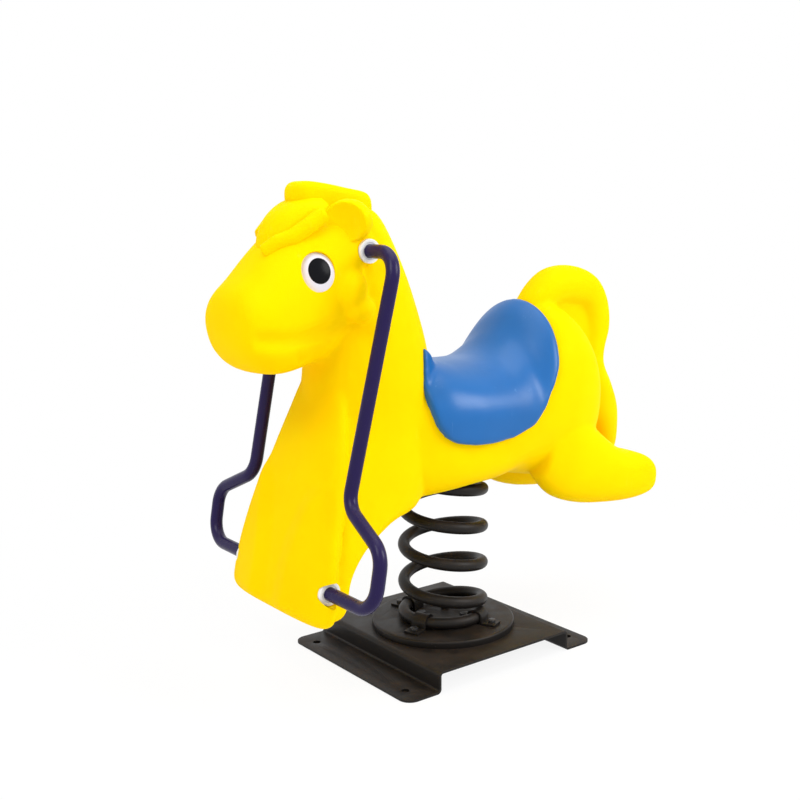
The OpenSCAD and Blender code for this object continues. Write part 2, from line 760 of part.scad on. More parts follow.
module saddle() {
    color([0.19, 0.45, 0.75])
    translate([0, 0, rider_z])
    difference() {
        minkowski() {
            difference() {
                form(saddle_ribs, 0);
                pony(-saddle_room);
            }
        }
        for (x = saddle_bolt_x)
            translate([x, 0, saddle_flat])
                cylinder(h = insert_top + insert_floor - saddle_flat, r = insert_r + slide_room);
    }
}
saddle_bolt_l = insert_top - bolt_short - saddle_flat;
module saddle_bolts() {
    color([0.7, 0.7, 0.72])
    for (x = saddle_bolt_x)
        translate([x, 0, rider_z + saddle_flat]) mirror([0, 0, 1]) bolt(saddle_bolt_d, saddle_bolt_l);
}
module saddle_inserts() {
    color([0.8, 0.65, 0.3])
    for (x = saddle_bolt_x) translate([x, 0, rider_z + insert_z]) difference() {
        cylinder(h = insert_h, r = insert_r);
        translate([0, 0, -eps]) cylinder(h = insert_h - insert_floor, r = saddle_bolt_d / 2 + thread_room);
    }
}

// Pins through each tube end and the rod inside it
upper_pin_y = upper_seat_y - tube_in + pin_from_end;
lower_pin_y = lower_seat_y - tube_in + pin_from_end;
module pin_at(at, y, r, l) {
    translate([at[0], y, at[1] - l / 2]) cylinder(h = l, r = r);
}
module side_bar() {
    color([0.2, 0.14, 0.38])
    translate([0, 0, rider_z]) difference() {
        bent_rod(bar_route, bar_r, bar_bend);
        bent_rod(bar_route, bar_bore_r, bar_bend, bore_past);
        pin_at(upper_bar, upper_pin_y, pin_d / 2 + thread_room, 2 * bar_d);
        pin_at(lower_bar, lower_pin_y, pin_d / 2 + thread_room, 2 * bar_d);
    }
}
module left_bar() {
    on_side(1) side_bar();
}
module right_bar() {
    on_side(-1) side_bar();
}
module cross_rod(at, seat_y, pin_y) {
    half = seat_y - tube_in + rod_into_tube;
    color([0.55, 0.55, 0.57])
    translate([0, 0, rider_z]) difference() {
        translate([at[0], -half, at[1]]) rotate([-90, 0, 0])
            cylinder(h = 2 * half, r = bar_bore_r - slide_room);
        both_sides() pin_at(at, pin_y, pin_d / 2 + thread_room, 2 * bar_d);
    }
}
module upper_cross_rod() {
    cross_rod(upper_bar, upper_seat_y, upper_pin_y);
}
module lower_cross_rod() {
    cross_rod(lower_bar, lower_seat_y, lower_pin_y);
}
module bar_pins() {
    color([0.7, 0.7, 0.72])
    translate([0, 0, rider_z]) both_sides() {
        pin_at(upper_bar, upper_pin_y, pin_d / 2, bar_d);
        pin_at(lower_bar, lower_pin_y, pin_d / 2, bar_d);
    }
}

// White plastic collar: a flange with a round edge and a sleeve in the moulding
module collar_section() {
    bore = bar_r + slide_room;
    translate([bore, 0]) square([collar_d / 2 - bore, collar_t - collar_round]);
    translate([bore, 0]) square([collar_d / 2 - bore - collar_round, collar_t]);
    translate([collar_d / 2 - collar_round, collar_t - collar_round])
        quarter_ring(collar_round, collar_round, 1, 1);
    translate([bore, -sleeve_l]) square([sleeve_r - bore, sleeve_l + eps]);
}
module collar(at, seat_y, side) {
    color([0.96, 0.96, 0.96])
    on_side(side) translate([at[0], seat_y, rider_z + at[1]]) rotate([-90, 0, 0])
        rotate_extrude() collar_section();
}
module left_upper_collar() {
    collar(upper_bar, upper_seat_y, 1);
}
module right_upper_collar() {
    collar(upper_bar, upper_seat_y, -1);
}
module left_lower_collar() {
    collar(lower_bar, lower_seat_y, 1);
}
module right_lower_collar() {
    collar(lower_bar, lower_seat_y, -1);
}

// Domed disc on the plane z = 0
dome_sides = 96;
module dome(r, h) {
    ball = (r * r + h * h) / (2 * h);
    rotate_extrude($fn = dome_sides) intersection() {
        translate([0, h - ball]) circle(ball, $fn = 4 * dome_sides);
        square([r, h]);
    }
}
pupil_floor = eye_h - pupil_sink - (eye_h / (eye_d * eye_d)) * pupil_d * pupil_d;
module eye_white(side) {
    color([0.93, 0.92, 0.94])
    on_side(side) translate([0, 0, rider_z]) eye_place() difference() {
        union() {
            dome(eye_d / 2, eye_h);
            translate([0, 0, -eye_stud_l]) cylinder(h = eye_stud_l + eps, r = eye_stud_r);
        }
        translate([0, 0, pupil_floor]) cylinder(h = eye_h, r = pupil_d / 2 + slide_room);
        translate([0, 0, pupil_floor - pupil_stud_l - pupil_stud_room])
            cylinder(h = eye_h, r = pupil_stud_r + slide_room);
    }
}
module pupil(side) {
    color([0.05, 0.05, 0.07])
    on_side(side) translate([0, 0, rider_z]) eye_place() translate([0, 0, pupil_floor]) {
        dome(pupil_d / 2, pupil_h);
        translate([0, 0, -pupil_stud_l]) cylinder(h = pupil_stud_l + eps, r = pupil_stud_r);
    }
}
module left_eye_white() {
    eye_white(1);
}
module right_eye_white() {
    eye_white(-1);
}
module left_pupil() {
    pupil(1);
}
module right_pupil() {
    pupil(-1);
}

base_plate();
lower_spring_disc();
base_bolts();
base_nuts();
lower_spring_clips();
lower_clip_bolts();
coil_spring();
upper_spring_plate();
upper_spring_clips();
upper_clip_bolts();
backing_plate();
rider_bolts();
rider_nuts();
body_shell();
saddle();
saddle_bolts();
saddle_inserts();
left_bar();
right_bar();
upper_cross_rod();
lower_cross_rod();
bar_pins();
left_upper_collar();
right_upper_collar();
left_lower_collar();
right_lower_collar();
left_eye_white();
right_eye_white();
left_pupil();
right_pupil();
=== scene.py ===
from contextlib import contextmanager
from math import ceil, cos, pi, radians, sin, sqrt, tan

import bmesh
import bpy
import numpy as np
from bpy.props import FloatProperty, FloatVectorProperty, PointerProperty
from mathutils import Matrix, Vector


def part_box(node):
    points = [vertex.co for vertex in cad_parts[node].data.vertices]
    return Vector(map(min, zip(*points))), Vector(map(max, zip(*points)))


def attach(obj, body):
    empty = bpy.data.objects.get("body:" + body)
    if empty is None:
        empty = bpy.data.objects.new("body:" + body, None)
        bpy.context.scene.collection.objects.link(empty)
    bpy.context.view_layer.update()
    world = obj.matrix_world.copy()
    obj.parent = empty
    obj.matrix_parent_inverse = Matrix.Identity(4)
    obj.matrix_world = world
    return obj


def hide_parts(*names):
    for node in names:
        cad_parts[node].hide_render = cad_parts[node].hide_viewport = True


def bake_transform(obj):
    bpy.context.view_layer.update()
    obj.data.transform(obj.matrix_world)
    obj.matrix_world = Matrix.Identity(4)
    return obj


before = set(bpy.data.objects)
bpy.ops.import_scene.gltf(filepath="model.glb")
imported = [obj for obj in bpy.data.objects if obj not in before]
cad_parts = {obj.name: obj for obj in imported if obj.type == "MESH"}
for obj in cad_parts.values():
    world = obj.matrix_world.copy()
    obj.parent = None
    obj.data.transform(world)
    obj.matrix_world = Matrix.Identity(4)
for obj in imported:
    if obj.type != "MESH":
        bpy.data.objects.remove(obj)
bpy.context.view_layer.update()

bl_info = {
    "name": "Spring rider",
    "version": (1, 0, 0),
    "blender": (4, 5, 0),
    "location": "View3D > Sidebar > Spring rider",
    "description": "Models a playground pony on a coil spring over its packed solids",
    "category": "Object",
}

# The solids' box, and the heights that the pieces are built from
DISC_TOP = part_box("lower_spring_disc")[1][2]
RIDER_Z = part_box("upper_spring_plate")[1][2]

# Half widths of the moulding, and how far its belly hangs below the face that the spring plate bears on
NECK_HALF = 0.088
LEG_HALF = 0.149
LEG_BODY_HALF = 0.129
TRUNK_HALF = 0.128
HIND_LEG_HALF = 0.058
HIND_LEG_Y = 0.090
HEAD_HALF = 0.084
TAIL_HALF = 0.043
SADDLE_HALF = 0.139
BELLY_DROP = 0.038
TRUNK_TOP = 0.150
POCKET_RADIUS = 0.097

# The two sides of the object: direction of Y and name
HANDS = ((1, "left"), (-1, "right"))

# Ribs of the moulding: the two ends of a rib on the middle plane (x, z, x, z, with z from the spring plate),
# its half width, and its squareness, which is 2 for an ellipse and more for a squarer outline
NECK_RIBS = (
    (0.238, 0.425, 0.176, 0.436, NECK_HALF - 0.042, 2.2),
    (0.250, 0.385, 0.151, 0.418, NECK_HALF - 0.022, 2.1),
    (0.256, 0.320, 0.117, 0.356, NECK_HALF - 0.008, 2.1),
    (0.268, 0.240, 0.082, 0.278, NECK_HALF + 0.001, 2.0),
    (0.277, 0.160, 0.056, 0.190, NECK_HALF + 0.008, 2.0),
    (0.280, 0.085, 0.054, 0.080, NECK_HALF + 0.016, 2.2),
    (0.290, 0.030, 0.098, -0.033 - BELLY_DROP / 2, NECK_HALF + 0.024, 3.0),
    (0.299, -0.025, 0.174, -0.078, LEG_BODY_HALF - 0.008, 3.2),
    (0.312, -0.085, 0.240, -0.108, LEG_BODY_HALF - 0.001, 3.4),
    (0.328, -0.140, 0.273, -0.146, LEG_BODY_HALF, 3.6),
    (0.340, -0.190, 0.286, -0.190, LEG_BODY_HALF + 0.004, 3.8),
    (0.338, -0.207, 0.296, -0.207, LEG_BODY_HALF - 0.006, 3.8),
)
LEG_RIBS = (
    (0.256, 0.182, 0.230, 0.178, NECK_HALF - 0.048, 2.4),
    (0.272, 0.144, 0.236, 0.138, NECK_HALF - 0.026, 2.2),
    (0.282, 0.108, 0.242, 0.102, NECK_HALF - 0.010, 2.2),
    (0.297, 0.066, 0.250, 0.058, NECK_HALF + 0.004, 2.3),
    (0.316, 0.004, 0.268, -0.008, LEG_HALF - 0.041, 2.9),
    (0.336, -0.060, 0.288, -0.070, LEG_HALF - 0.020, 2.6),
    (0.352, -0.120, 0.304, -0.126, LEG_HALF - 0.005, 2.3),
    (0.364, -0.172, 0.310, -0.174, LEG_HALF + 0.002, 2.2),
    (0.367, -0.196, 0.312, -0.197, LEG_HALF, 2.4),
    (0.353, -0.211, 0.320, -0.211, LEG_HALF - 0.018, 3.6),
)
TRUNK_RIBS = (
    (0.196, 0.118, 0.176, 0.006 - BELLY_DROP, TRUNK_HALF - 0.054, 2.6),
    (0.150, 0.140, 0.148, -0.020 - BELLY_DROP, TRUNK_HALF - 0.034, 2.8),
    (0.088, 0.148, 0.092, -0.018 - BELLY_DROP, TRUNK_HALF - 0.012, 3.2),
    (0.020, TRUNK_TOP, 0.020, -0.011 - BELLY_DROP, TRUNK_HALF - 0.002, 3.6),
    (-0.048, TRUNK_TOP + 0.002, -0.045, -0.007 - BELLY_DROP, TRUNK_HALF, 3.4),
    (-0.108, 0.164, -0.100, -0.006 - BELLY_DROP, TRUNK_HALF, 2.5),
    (-0.152, 0.214, -0.150, -0.018 - BELLY_DROP, TRUNK_HALF, 2.3),
    (-0.196, 0.256, -0.190, -0.024 - BELLY_DROP, TRUNK_HALF + 0.001, 2.5),
    (-0.238, 0.256, -0.225, -0.024 - BELLY_DROP, TRUNK_HALF, 2.5),
    (-0.284, 0.216, -0.262, -0.012 - BELLY_DROP, TRUNK_HALF - 0.010, 2.5),
    (-0.318, 0.150, -0.300, 0.020 - BELLY_DROP, TRUNK_HALF - 0.038, 2.4),
    (-0.336, 0.100, -0.326, 0.068 - BELLY_DROP, TRUNK_HALF - 0.076, 2.4),
    (-0.340, 0.080, -0.336, 0.088 - BELLY_DROP, TRUNK_HALF - 0.104, 2.2),
)
HIND_RIBS = (
    (-0.190, 0.092, -0.150, -0.052, HIND_LEG_HALF - 0.030, 2.4),
    (-0.234, 0.070, -0.186, -0.088, HIND_LEG_HALF - 0.018, 2.4),
    (-0.290, 0.022, -0.240, -0.110, HIND_LEG_HALF - 0.008, 2.5),
    (-0.338, -0.014, -0.302, -0.119, HIND_LEG_HALF - 0.002, 2.7),
    (-0.384, -0.029, -0.362, -0.122, HIND_LEG_HALF, 2.9),
    (-0.414, -0.040, -0.408, -0.117, HIND_LEG_HALF - 0.003, 3),
    (-0.425, -0.054, -0.424, -0.104, HIND_LEG_HALF - 0.012, 3),
    (-0.428, -0.068, -0.428, -0.090, HIND_LEG_HALF - 0.028, 2.6),
)
HIND_WEB_RIBS = (
    (-0.190, 0.080, -0.160, -0.040, HIND_LEG_HALF, 3),
    (-0.260, 0.036, -0.230, -0.076, HIND_LEG_HALF, 3),
    (-0.330, -0.030, -0.310, -0.096, HIND_LEG_HALF, 3),
    (-0.385, -0.052, -0.375, -0.100, HIND_LEG_HALF, 3),
    (-0.398, -0.062, -0.396, -0.092, HIND_LEG_HALF - 0.010, 3),
)
HEAD_RIBS = (
    (0.433, 0.264, 0.433, 0.246, 0.016, 2.2),
    (0.431, 0.287, 0.423, 0.213, HEAD_HALF - 0.027, 2.3),
    (0.421, 0.309, 0.401, 0.188, HEAD_HALF - 0.008, 2.4),
    (0.396, 0.333, 0.355, 0.177, HEAD_HALF + 0.003, 2.4),
    (0.365, 0.368, 0.312, 0.182, HEAD_HALF + 0.003, 2.4),
    (0.328, 0.402, 0.268, 0.197, HEAD_HALF + 0.001, 2.4),
    (0.284, 0.426, 0.228, 0.226, HEAD_HALF, 2.4),
    (0.234, 0.436, 0.194, 0.262, HEAD_HALF, 2.3),
    (0.196, 0.430, 0.160, 0.310, HEAD_HALF - 0.018, 2.2),
    (0.176, 0.412, 0.146, 0.348, HEAD_HALF - 0.042, 2.2),
)
CREST_RIBS = (
    (0.309, 0.447, 0.292, 0.410, 0.014, 2.6),
    (0.304, 0.465, 0.284, 0.400, 0.024, 3.2),
    (0.287, 0.473, 0.270, 0.395, 0.033, 4.5),
    (0.255, 0.470, 0.245, 0.390, 0.039, 6),
    (0.214, 0.463, 0.210, 0.380, 0.041, 6),
    (0.185, 0.458, 0.188, 0.370, 0.041, 6),
    (0.174, 0.450, 0.180, 0.370, 0.037, 5),
    (0.168, 0.433, 0.176, 0.370, 0.026, 3.5),
)
FORELOCK_RIBS = (
    (0.358, 0.360, 0.348, 0.352, 0.006, 2.2),
    (0.361, 0.372, 0.330, 0.360, 0.024, 2.2),
    (0.356, 0.393, 0.296, 0.358, 0.040, 2.2),
    (0.341, 0.418, 0.269, 0.366, 0.050, 2.3),
    (0.317, 0.437, 0.262, 0.378, 0.057, 2.4),
    (0.292, 0.448, 0.262, 0.390, 0.060, 2.4),
    (0.270, 0.452, 0.250, 0.395, 0.054, 2.4),
)
TAIL_RIBS = (
    (-0.186, 0.262, -0.210, 0.208, TAIL_HALF - 0.010, 2.2),
    (-0.219, 0.297, -0.240, 0.240, TAIL_HALF - 0.004, 2.2),
    (-0.261, 0.322, -0.269, 0.252, TAIL_HALF, 2.2),
    (-0.315, 0.324, -0.304, 0.248, TAIL_HALF + 0.001, 2.2),
    (-0.365, 0.304, -0.324, 0.240, TAIL_HALF + 0.001, 2.2),
    (-0.394, 0.262, -0.334, 0.222, TAIL_HALF, 2.2),
    (-0.402, 0.210, -0.338, 0.190, TAIL_HALF - 0.001, 2.2),
    (-0.390, 0.166, -0.330, 0.152, TAIL_HALF - 0.002, 2.2),
    (-0.389, 0.134, -0.326, 0.124, TAIL_HALF, 2.2),
    (-0.410, 0.096, -0.340, 0.084, TAIL_HALF + 0.002, 2.2),
    (-0.430, 0.050, -0.348, 0.040, TAIL_HALF + 0.003, 2.2),
    (-0.432, 0.006, -0.366, 0.000, TAIL_HALF + 0.001, 2.2),
    (-0.430, -0.032, -0.374, -0.036, TAIL_HALF - 0.004, 2.2),
    (-0.420, -0.055, -0.386, -0.057, TAIL_HALF - 0.015, 2.2),
)
TAIL_WEB_RIBS = (
    (-0.232, 0.262, -0.236, 0.210, 0.020, 2.4),
    (-0.262, 0.292, -0.256, 0.220, 0.024, 2.4),
    (-0.312, 0.290, -0.284, 0.200, 0.024, 2.4),
    (-0.348, 0.262, -0.300, 0.176, 0.024, 2.4),
    (-0.364, 0.216, -0.306, 0.150, 0.024, 2.4),
    (-0.358, 0.160, -0.306, 0.118, 0.022, 2.4),
    (-0.350, 0.120, -0.306, 0.096, 0.018, 2.4),
)

# Ribs of the saddle: x and z of the seat line, x and z where the flap hangs straight, half width, squareness
SADDLE_RIBS = (
    (0.126, 0.140, 0.126, 0.090, 0.100, 2.3),
    (0.118, 0.164, 0.122, 0.080, 0.116, 2.2),
    (0.098, 0.180, 0.104, 0.070, 0.124, 2.15),
    (0.072, 0.181, 0.078, 0.076, 0.131, 2.2),
    (0.044, 0.177, 0.048, 0.076, 0.136, 2.2),
    (0.016, 0.173, 0.018, 0.076, 0.140, 2.2),
    (-0.040, 0.172, -0.040, 0.074, SADDLE_HALF + 0.002, 2.15),
    (-0.070, 0.178, -0.068, 0.072, 0.142, 2.05),
    (-0.095, 0.192, -0.090, 0.070, 0.143, 1.95),
    (-0.120, 0.217, -0.110, 0.062, 0.144, 1.78),
    (-0.145, 0.248, -0.128, 0.070, 0.145, 1.80),
    (-0.165, 0.264, -0.143, 0.088, 0.143, 1.90),
    (-0.178, 0.268, -0.156, 0.112, 0.135, 2.0),
    (-0.187, 0.256, -0.166, 0.140, 0.118, 2.1),
    (-0.191, 0.228, -0.176, 0.176, 0.090, 2.1),
)
# Side views of the saddle and of its lip round the neck: x, z
SADDLE_OUTLINE = (
    (0.113, 0.320), (0.113, 0.145), (0.111, 0.108), (0.104, 0.078), (0.089, 0.058), (0.070, 0.047),
    (0.037, 0.041), (-0.002, 0.039), (-0.047, 0.044), (-0.094, 0.060), (-0.122, 0.088), (-0.146, 0.127),
    (-0.170, 0.165), (-0.205, 0.195), (-0.205, 0.320),
)
LIP_OUTLINE = (
    (0.103, 0.207), (0.112, 0.145), (0.108, 0.100), (0.020, 0.100), (0.020, 0.150), (0.070, 0.190),
)
# Thickness of the lip, how deep the saddle sinks into the trunk, and the level that its flaps are drawn down to
SADDLE_SKIN = 0.007
SADDLE_SINK = 0.003
SADDLE_FOOT = 0.025

# Lumps of the moulding on the left side: centre, with z from the spring plate, radii, turn about Y in degrees
EAR = ((0.2417, 0.068, 0.412), (0.040, 0.033, 0.034), 0)
EAR_HOLLOW = ((0.2998, 0.1264, 0.402), (0.075, 0.075, 0.075), 0)
CHEEK = ((0.235, HEAD_HALF, 0.279), (0.025, 0.027, 0.025), 0)
LEAF = ((0.248, HEAD_HALF + 0.002, 0.308), (0.021, 0.027, 0.030), -17)

# Roll along the fringe's lower edge, from the ground up; the right side has only its points from FRINGE_FAR on
FRINGE = (
    (0.364, 0.020, 0.722),
    (0.348, 0.034, 0.737),
    (0.329, 0.048, 0.746),
    (0.307, 0.059, 0.763),
    (0.284, 0.064, 0.781),
)
FRINGE_FAR = 2
FRINGE_RADIUS = 0.013
FRINGE_BEND = 0.010

# Leg bulges on the front plate: height and distance from the middle of their inner border, the plate's side,
# how far they rise, the run of their inner slope, and the heights between which they fade at the top and foot
BULGE_BORDER = ((0.150, 0.233, 0.270, 0.330, 0.390), (0.050, 0.052, 0.058, 0.078, 0.118))
BULGE_SIDE = 0.142
BULGE_RISE = 0.008
BULGE_RUN = 0.044
BULGE_TOP = (0.335, 0.395)
BULGE_FOOT = (0.148, 0.175)

# Grids of the head's details, the saddle and the trunk's skin under it, and rounds of smoothing
DETAIL_VOXEL = 0.0028
SADDLE_VOXEL = 0.003
UNDER_VOXEL = 0.005
PONY_SMOOTHING = 9
DETAIL_SMOOTHING = 3
SEAT_SMOOTHING = 14
SADDLE_SMOOTHING = 12

# Distance within which two points are one
SAME_POINT = 1e-6

# Angles in degrees from which an edge stays sharp: on most pieces, on the moulding and on copies of solids
SHARP = 40
PONY_SHARP = 35
COPY_SHARP = 32

# Angle in degrees up to which two faces of a solid count as one flat face
FLAT = 1

# Strokes pressed into the moulding or raised on it: points from the ground up, half width, height
STROKES = (
    (((0.404, 0.072, 0.596), (0.370, 0.084, 0.592), (0.336, 0.087, 0.594), (0.274, 0.086, 0.605)),
     0.013, -0.010),
    (((0.341, 0.073, 0.571), (0.330, 0.064, 0.559)), 0.006, -0.004),
    (((0.216, 0.088, 0.697), (0.212, 0.090, 0.655)), 0.010, -0.010),
    (((0.290, 0.080, 0.578), (0.245, 0.088, 0.578)), 0.016, 0.004),
)

# Left side bar, with z from the spring plate: x and z of its two ends, the skin's seats there, how far the tube
# goes in, and its corners
UPPER_BAR = (0.215, 0.366)
LOWER_BAR = (0.331, -0.154)
UPPER_SEAT = HEAD_HALF - 0.003
LOWER_SEAT = LEG_BODY_HALF - 0.003
TUBE_IN = 0.034
FOOT_REST_Y = 0.2485
BAR_ROUTE = (
    (UPPER_BAR[0], UPPER_SEAT - TUBE_IN, UPPER_BAR[1]),
    (UPPER_BAR[0], 0.157, UPPER_BAR[1]),
    (0.302, 0.1435, -0.016),
    (0.315, FOOT_REST_Y, -0.064),
    (LOWER_BAR[0], FOOT_REST_Y, LOWER_BAR[1]),
    (LOWER_BAR[0], LOWER_SEAT - TUBE_IN, LOWER_BAR[1]),
)
BAR_ENDS = ((UPPER_BAR, UPPER_SEAT, "upper"), (LOWER_BAR, LOWER_SEAT, "lower"))

# Collars: width of the rim, depth of the step inside it, rounding, and the gap round a collar in its seat
COLLAR_RIM = 0.0055
COLLAR_STEP = 0.0012
COLLAR_EDGE = 0.0018
COLLAR_GAP = 0.001

# Left eye: its middle, turns in degrees, stretch, straight rim, rounding and the gap round it in its seat;
# its pupil: how far it stands proud, its rounding and its turns in degrees down and back
EYE_AT = (0.305, HEAD_HALF - 0.009, 0.336)
EYE_YAW = 14
EYE_PITCH = 14
EYE_STRETCH = (0.95, 1.06, 1, 1)
EYE_RIM = 0.003
EYE_EDGE = 0.0012
EYE_GAP = 0.0006
PUPIL_PROUD = 0.0005
PUPIL_EDGE = 0.0005
PUPIL_TURN = (1.2, -2.2)

# Spring wire, with angles in degrees: its lower end's direction, the turn of each flat end, the number of free
# turns, its gap over the disc, and how softly a flat end passes into the rise, in turns
WIRE_START = 132
FLAT_TURN = 226
FREE_TURNS = 4
WIRE_TURNED = 2 * FLAT_TURN + 360 * FREE_TURNS
WIRE_GAP = 0.0003
WIRE_EASE = 0.06

# Rounding of the edges of plates, disc, clips and bolts
PLATE_EDGE = 0.0008
DISC_EDGE = 0.0006
CLIP_EDGE = 0.0009
CLIP_BOLT_EDGE = 0.0007
BOLT_EDGE = 0.0008

# Anchor holes: distance from the base's end, half spacing, and the reach of the painted shade seen through
# them, a near-black disc on the floor
ANCHOR_INSET = 0.026
ANCHOR_Y = 0.135
ANCHOR_SHADE_REACH = 0.011

# Camera of the photograph
CAMERA_PLACE = (1.2231, 1.5137, 0.7899)
CAMERA_TARGET = (0.0, 0.0, 0.40)
CAMERA_LENS = 50
CAMERA_SENSOR = 36
CAMERA_SHIFT = (-0.05366, 0.03733)

# Round lamps: name, place, diameter, power
LAMPS = (
    ("key", (-1.8, 2.6, 2.4), 1.8, 70),
    ("front", (2.2, 0.8, 2.7), 1.6, 33),
    ("top", (-0.2, 0.0, 3.2), 2.4, 28),
)

# Floor: its size, its colour and that of the painted shade in the anchor holes, its glow near the object as a
# share of white, and the distances over which that grows to white; strength of the even fill from the
# background
FLOOR_SIZE = 30
FLOOR_COLOUR = (0.9, 0.9, 0.9)
HOLE_SHADE_COLOUR = (0.02, 0.015, 0.012)
FLOOR_GLOW = 0.88
FLOOR_GLOW_RUN = (0.30, 1.30)
FILL = 0.69

# Moulded plastic: shares of its patches and rubs in the colour and in the roughness, the depth of its relief,
# and how far light goes in
PATCH_TINT = 0.6
RUB_TINT = 0.35
PATCH_ROUGHNESS = 0.08
RUB_ROUGHNESS = 0.25
PEEL_DEPTH = 0.0012
SUBSURFACE_RADIUS = (1.0, 0.35, 0.08)
SUBSURFACE_SCALE = 0.02

# Coated steel: shares of its specks in the colour and of its soil in the roughness, and the depth of its grain;
# strength of both reliefs
SPECK_TINT = 0.5
SOIL_ROUGHNESS = 0.4
GRAIN_DEPTH = 0.0004
BUMP_STRENGTH = 0.35

# A mix node's inputs for the factor and the two colours, and its output for a colour
MIX_INPUTS = (0, 6, 7)
MIX_RESULT = 2


def length(name, description, default):
    """A length that can be set in the sidebar."""
    return FloatProperty(name=name, description=description, default=default, unit="LENGTH")


def tint(name, description, default):
    """A colour that can be set in the sidebar."""
    return FloatVectorProperty(name=name, description=description, default=default, subtype="COLOR")


class RiderSizes(bpy.types.PropertyGroup):
    """Sizes of the rider's pieces."""
    voxel: length("Moulding grid", "Size of the faces on the moulded pony", 0.0044)
    wire: length("Spring wire", "Diameter of the spring wire", 0.0215)
    coil: length("Coil", "Diameter of the coil at the middle of its wire", 0.143)
    pitch: length("Pitch", "Rise of one free turn", 0.069)
    bar: length("Bar", "Diameter of the side bars", 0.022)
    bar_bend: length("Bar bend", "Bend radius of the side bars", 0.040)
    collar: length("Collar", "Diameter of the white collars", 0.038)
    collar_thick: length("Collar thickness", "Thickness of a collar's flange", 0.006)
    eye: length("Eye", "Diameter of an eye", 0.058)
    eye_rise: length("Eye dome", "Height of an eye's dome", 0.007)
    pupil: length("Pupil", "Diameter of a pupil", 0.038)


class RiderColours(bpy.types.PropertyGroup):
    """Colours of the rider's finishes."""
    moulding: tint("Pony", "Colour of the pony's moulding", (1.0, 0.67, 0.0))
    moulding_deep: tint("Pony, deeper", "Warmer patches of the moulding", (1.0, 0.60, 0.0))
    saddle: tint("Saddle", "Colour of the saddle", (0.009, 0.122, 0.385))
    bar: tint("Bars", "Paint of the side bars", (0.013, 0.0065, 0.056))
    black: tint("Powder coat", "Coat of the spring, disc and base", (0.0105, 0.0088, 0.0078))
    dust: tint("Dust", "Dry soil on the steel", (0.060, 0.038, 0.025))
    white: tint("Collars", "White plastic", (0.83, 0.83, 0.83))
    eye_white: tint("Eye white", "White of the eyes", (0.72, 0.69, 0.76))
    pupil: tint("Pupil", "Black of the eyes", (0.006, 0.006, 0.008))


def sizes():
    """The sizes of the scene's rider."""
    return bpy.context.scene.rider_sizes


def colours():
    """The colours of the scene's rider."""
    return bpy.context.scene.rider_colours


# Modelling helpers
def put_down():
    """Leaves edit mode and deselects everything."""
    if bpy.context.mode != "OBJECT":
        bpy.ops.object.mode_set(mode="OBJECT")
    bpy.ops.object.select_all(action="DESELECT")


def pick_up(piece):
    """Makes one piece the only selected and active one."""
    put_down()
    piece.select_set(True)
    bpy.context.view_layer.objects.active = piece


@contextmanager
def editing(piece):
    """Edit mode on one piece, with everything on it selected at first."""
    pick_up(piece)
    bpy.ops.object.mode_set(mode="EDIT")
    bpy.ops.mesh.select_all(action="SELECT")
    yield
    bpy.ops.object.mode_set(mode="OBJECT")


def modify(piece, kind, **values):
    """Adds a modifier with these values and applies it."""
    pick_up(piece)
    bpy.ops.object.modifier_add(type=kind)
    modifier = piece.modifiers[-1]
    for name, value in values.items():
        setattr(modifier, name, value)
    bpy.ops.object.modifier_apply(modifier=modifier.name)


def combine(piece, operation, other):
    """Changes a piece by a boolean with another one, which is used up."""
    modify(piece, "BOOLEAN", operation=operation, object=other, solver="MANIFOLD")
    bpy.data.objects.remove(other)


def even_out(piece, voxel, rounds):
    """Gives a piece an even grid of faces and smooths it."""
    modify(piece, "REMESH", mode="VOXEL", voxel_size=voxel)
    modify(piece, "SMOOTH", factor=0.5, iterations=rounds)


def shade(piece, sharp=SHARP):
    """Shades a piece smooth but for its sharp edges."""
    pick_up(piece)
    bpy.ops.object.shade_smooth_by_angle(angle=radians(sharp))


def settle(piece):
    """Puts a piece's place into its mesh."""
    pick_up(piece)
    bpy.ops.object.transform_apply(location=True, rotation=True, scale=True)


def close_up(piece):
    """Merges doubled points and turns every face outwards."""
    with editing(piece):
        bpy.ops.mesh.remove_doubles(threshold=SAME_POINT)
        bpy.ops.mesh.normals_make_consistent(inside=False)


def join(pieces, name):
    """Joins pieces into the first one."""
    put_down()
    for piece in pieces:
        piece.select_set(True)
    bpy.context.view_layer.objects.active = pieces[0]
    bpy.ops.object.join()
    pieces[0].name = name
    return pieces[0]


def loft(name, rings):
    """A closed skin: a disc that is extruded from ring to ring, each new rim set on its ring's points."""
    put_down()
    bpy.ops.mesh.primitive_circle_add(vertices=len(rings[0]), radius=0.01, fill_type="NGON")
    piece = bpy.context.object
    piece.name = name
    with editing(piece):
        bpy.ops.mesh.select_mode(type="VERT")
        skin = bmesh.from_edit_mesh(piece.data)
        skin.verts.ensure_lookup_table()
        rim = [v.index for v in skin.verts]
        for index, point in zip(rim, rings[0]):
            skin.verts[index].co = point
        for ring in rings[1:]:
            bpy.ops.mesh.extrude_region_move()
            skin = bmesh.from_edit_mesh(piece.data)
            skin.verts.index_update()
            skin.verts.ensure_lookup_table()
            rim = [next(e.other_vert(skin.verts[i]).index for e in skin.verts[i].link_edges
                        if e.other_vert(skin.verts[i]).select) for i in rim]
            for index, point in zip(rim, ring):
                skin.verts[index].co = point
        bpy.ops.mesh.select_all(action="SELECT")
        bpy.ops.mesh.normals_make_consistent(inside=False)
    return piece


def swell(value, squareness):
    """Signed power of a sine or cosine, for squared ellipses."""
    return (1 if value >= 0 else -1) * abs(value) ** (2 / squareness)


def through(p, q, r, s, t):
    """A smooth curve between q and r, which also heeds the neighbours p and s."""
    square = 2 * p - 5 * q + 4 * r - s
    cube = 3 * q - p - 3 * r + s
    return 0.5 * (2 * q + (r - p) * t + square * t ** 2 + cube * t ** 3)


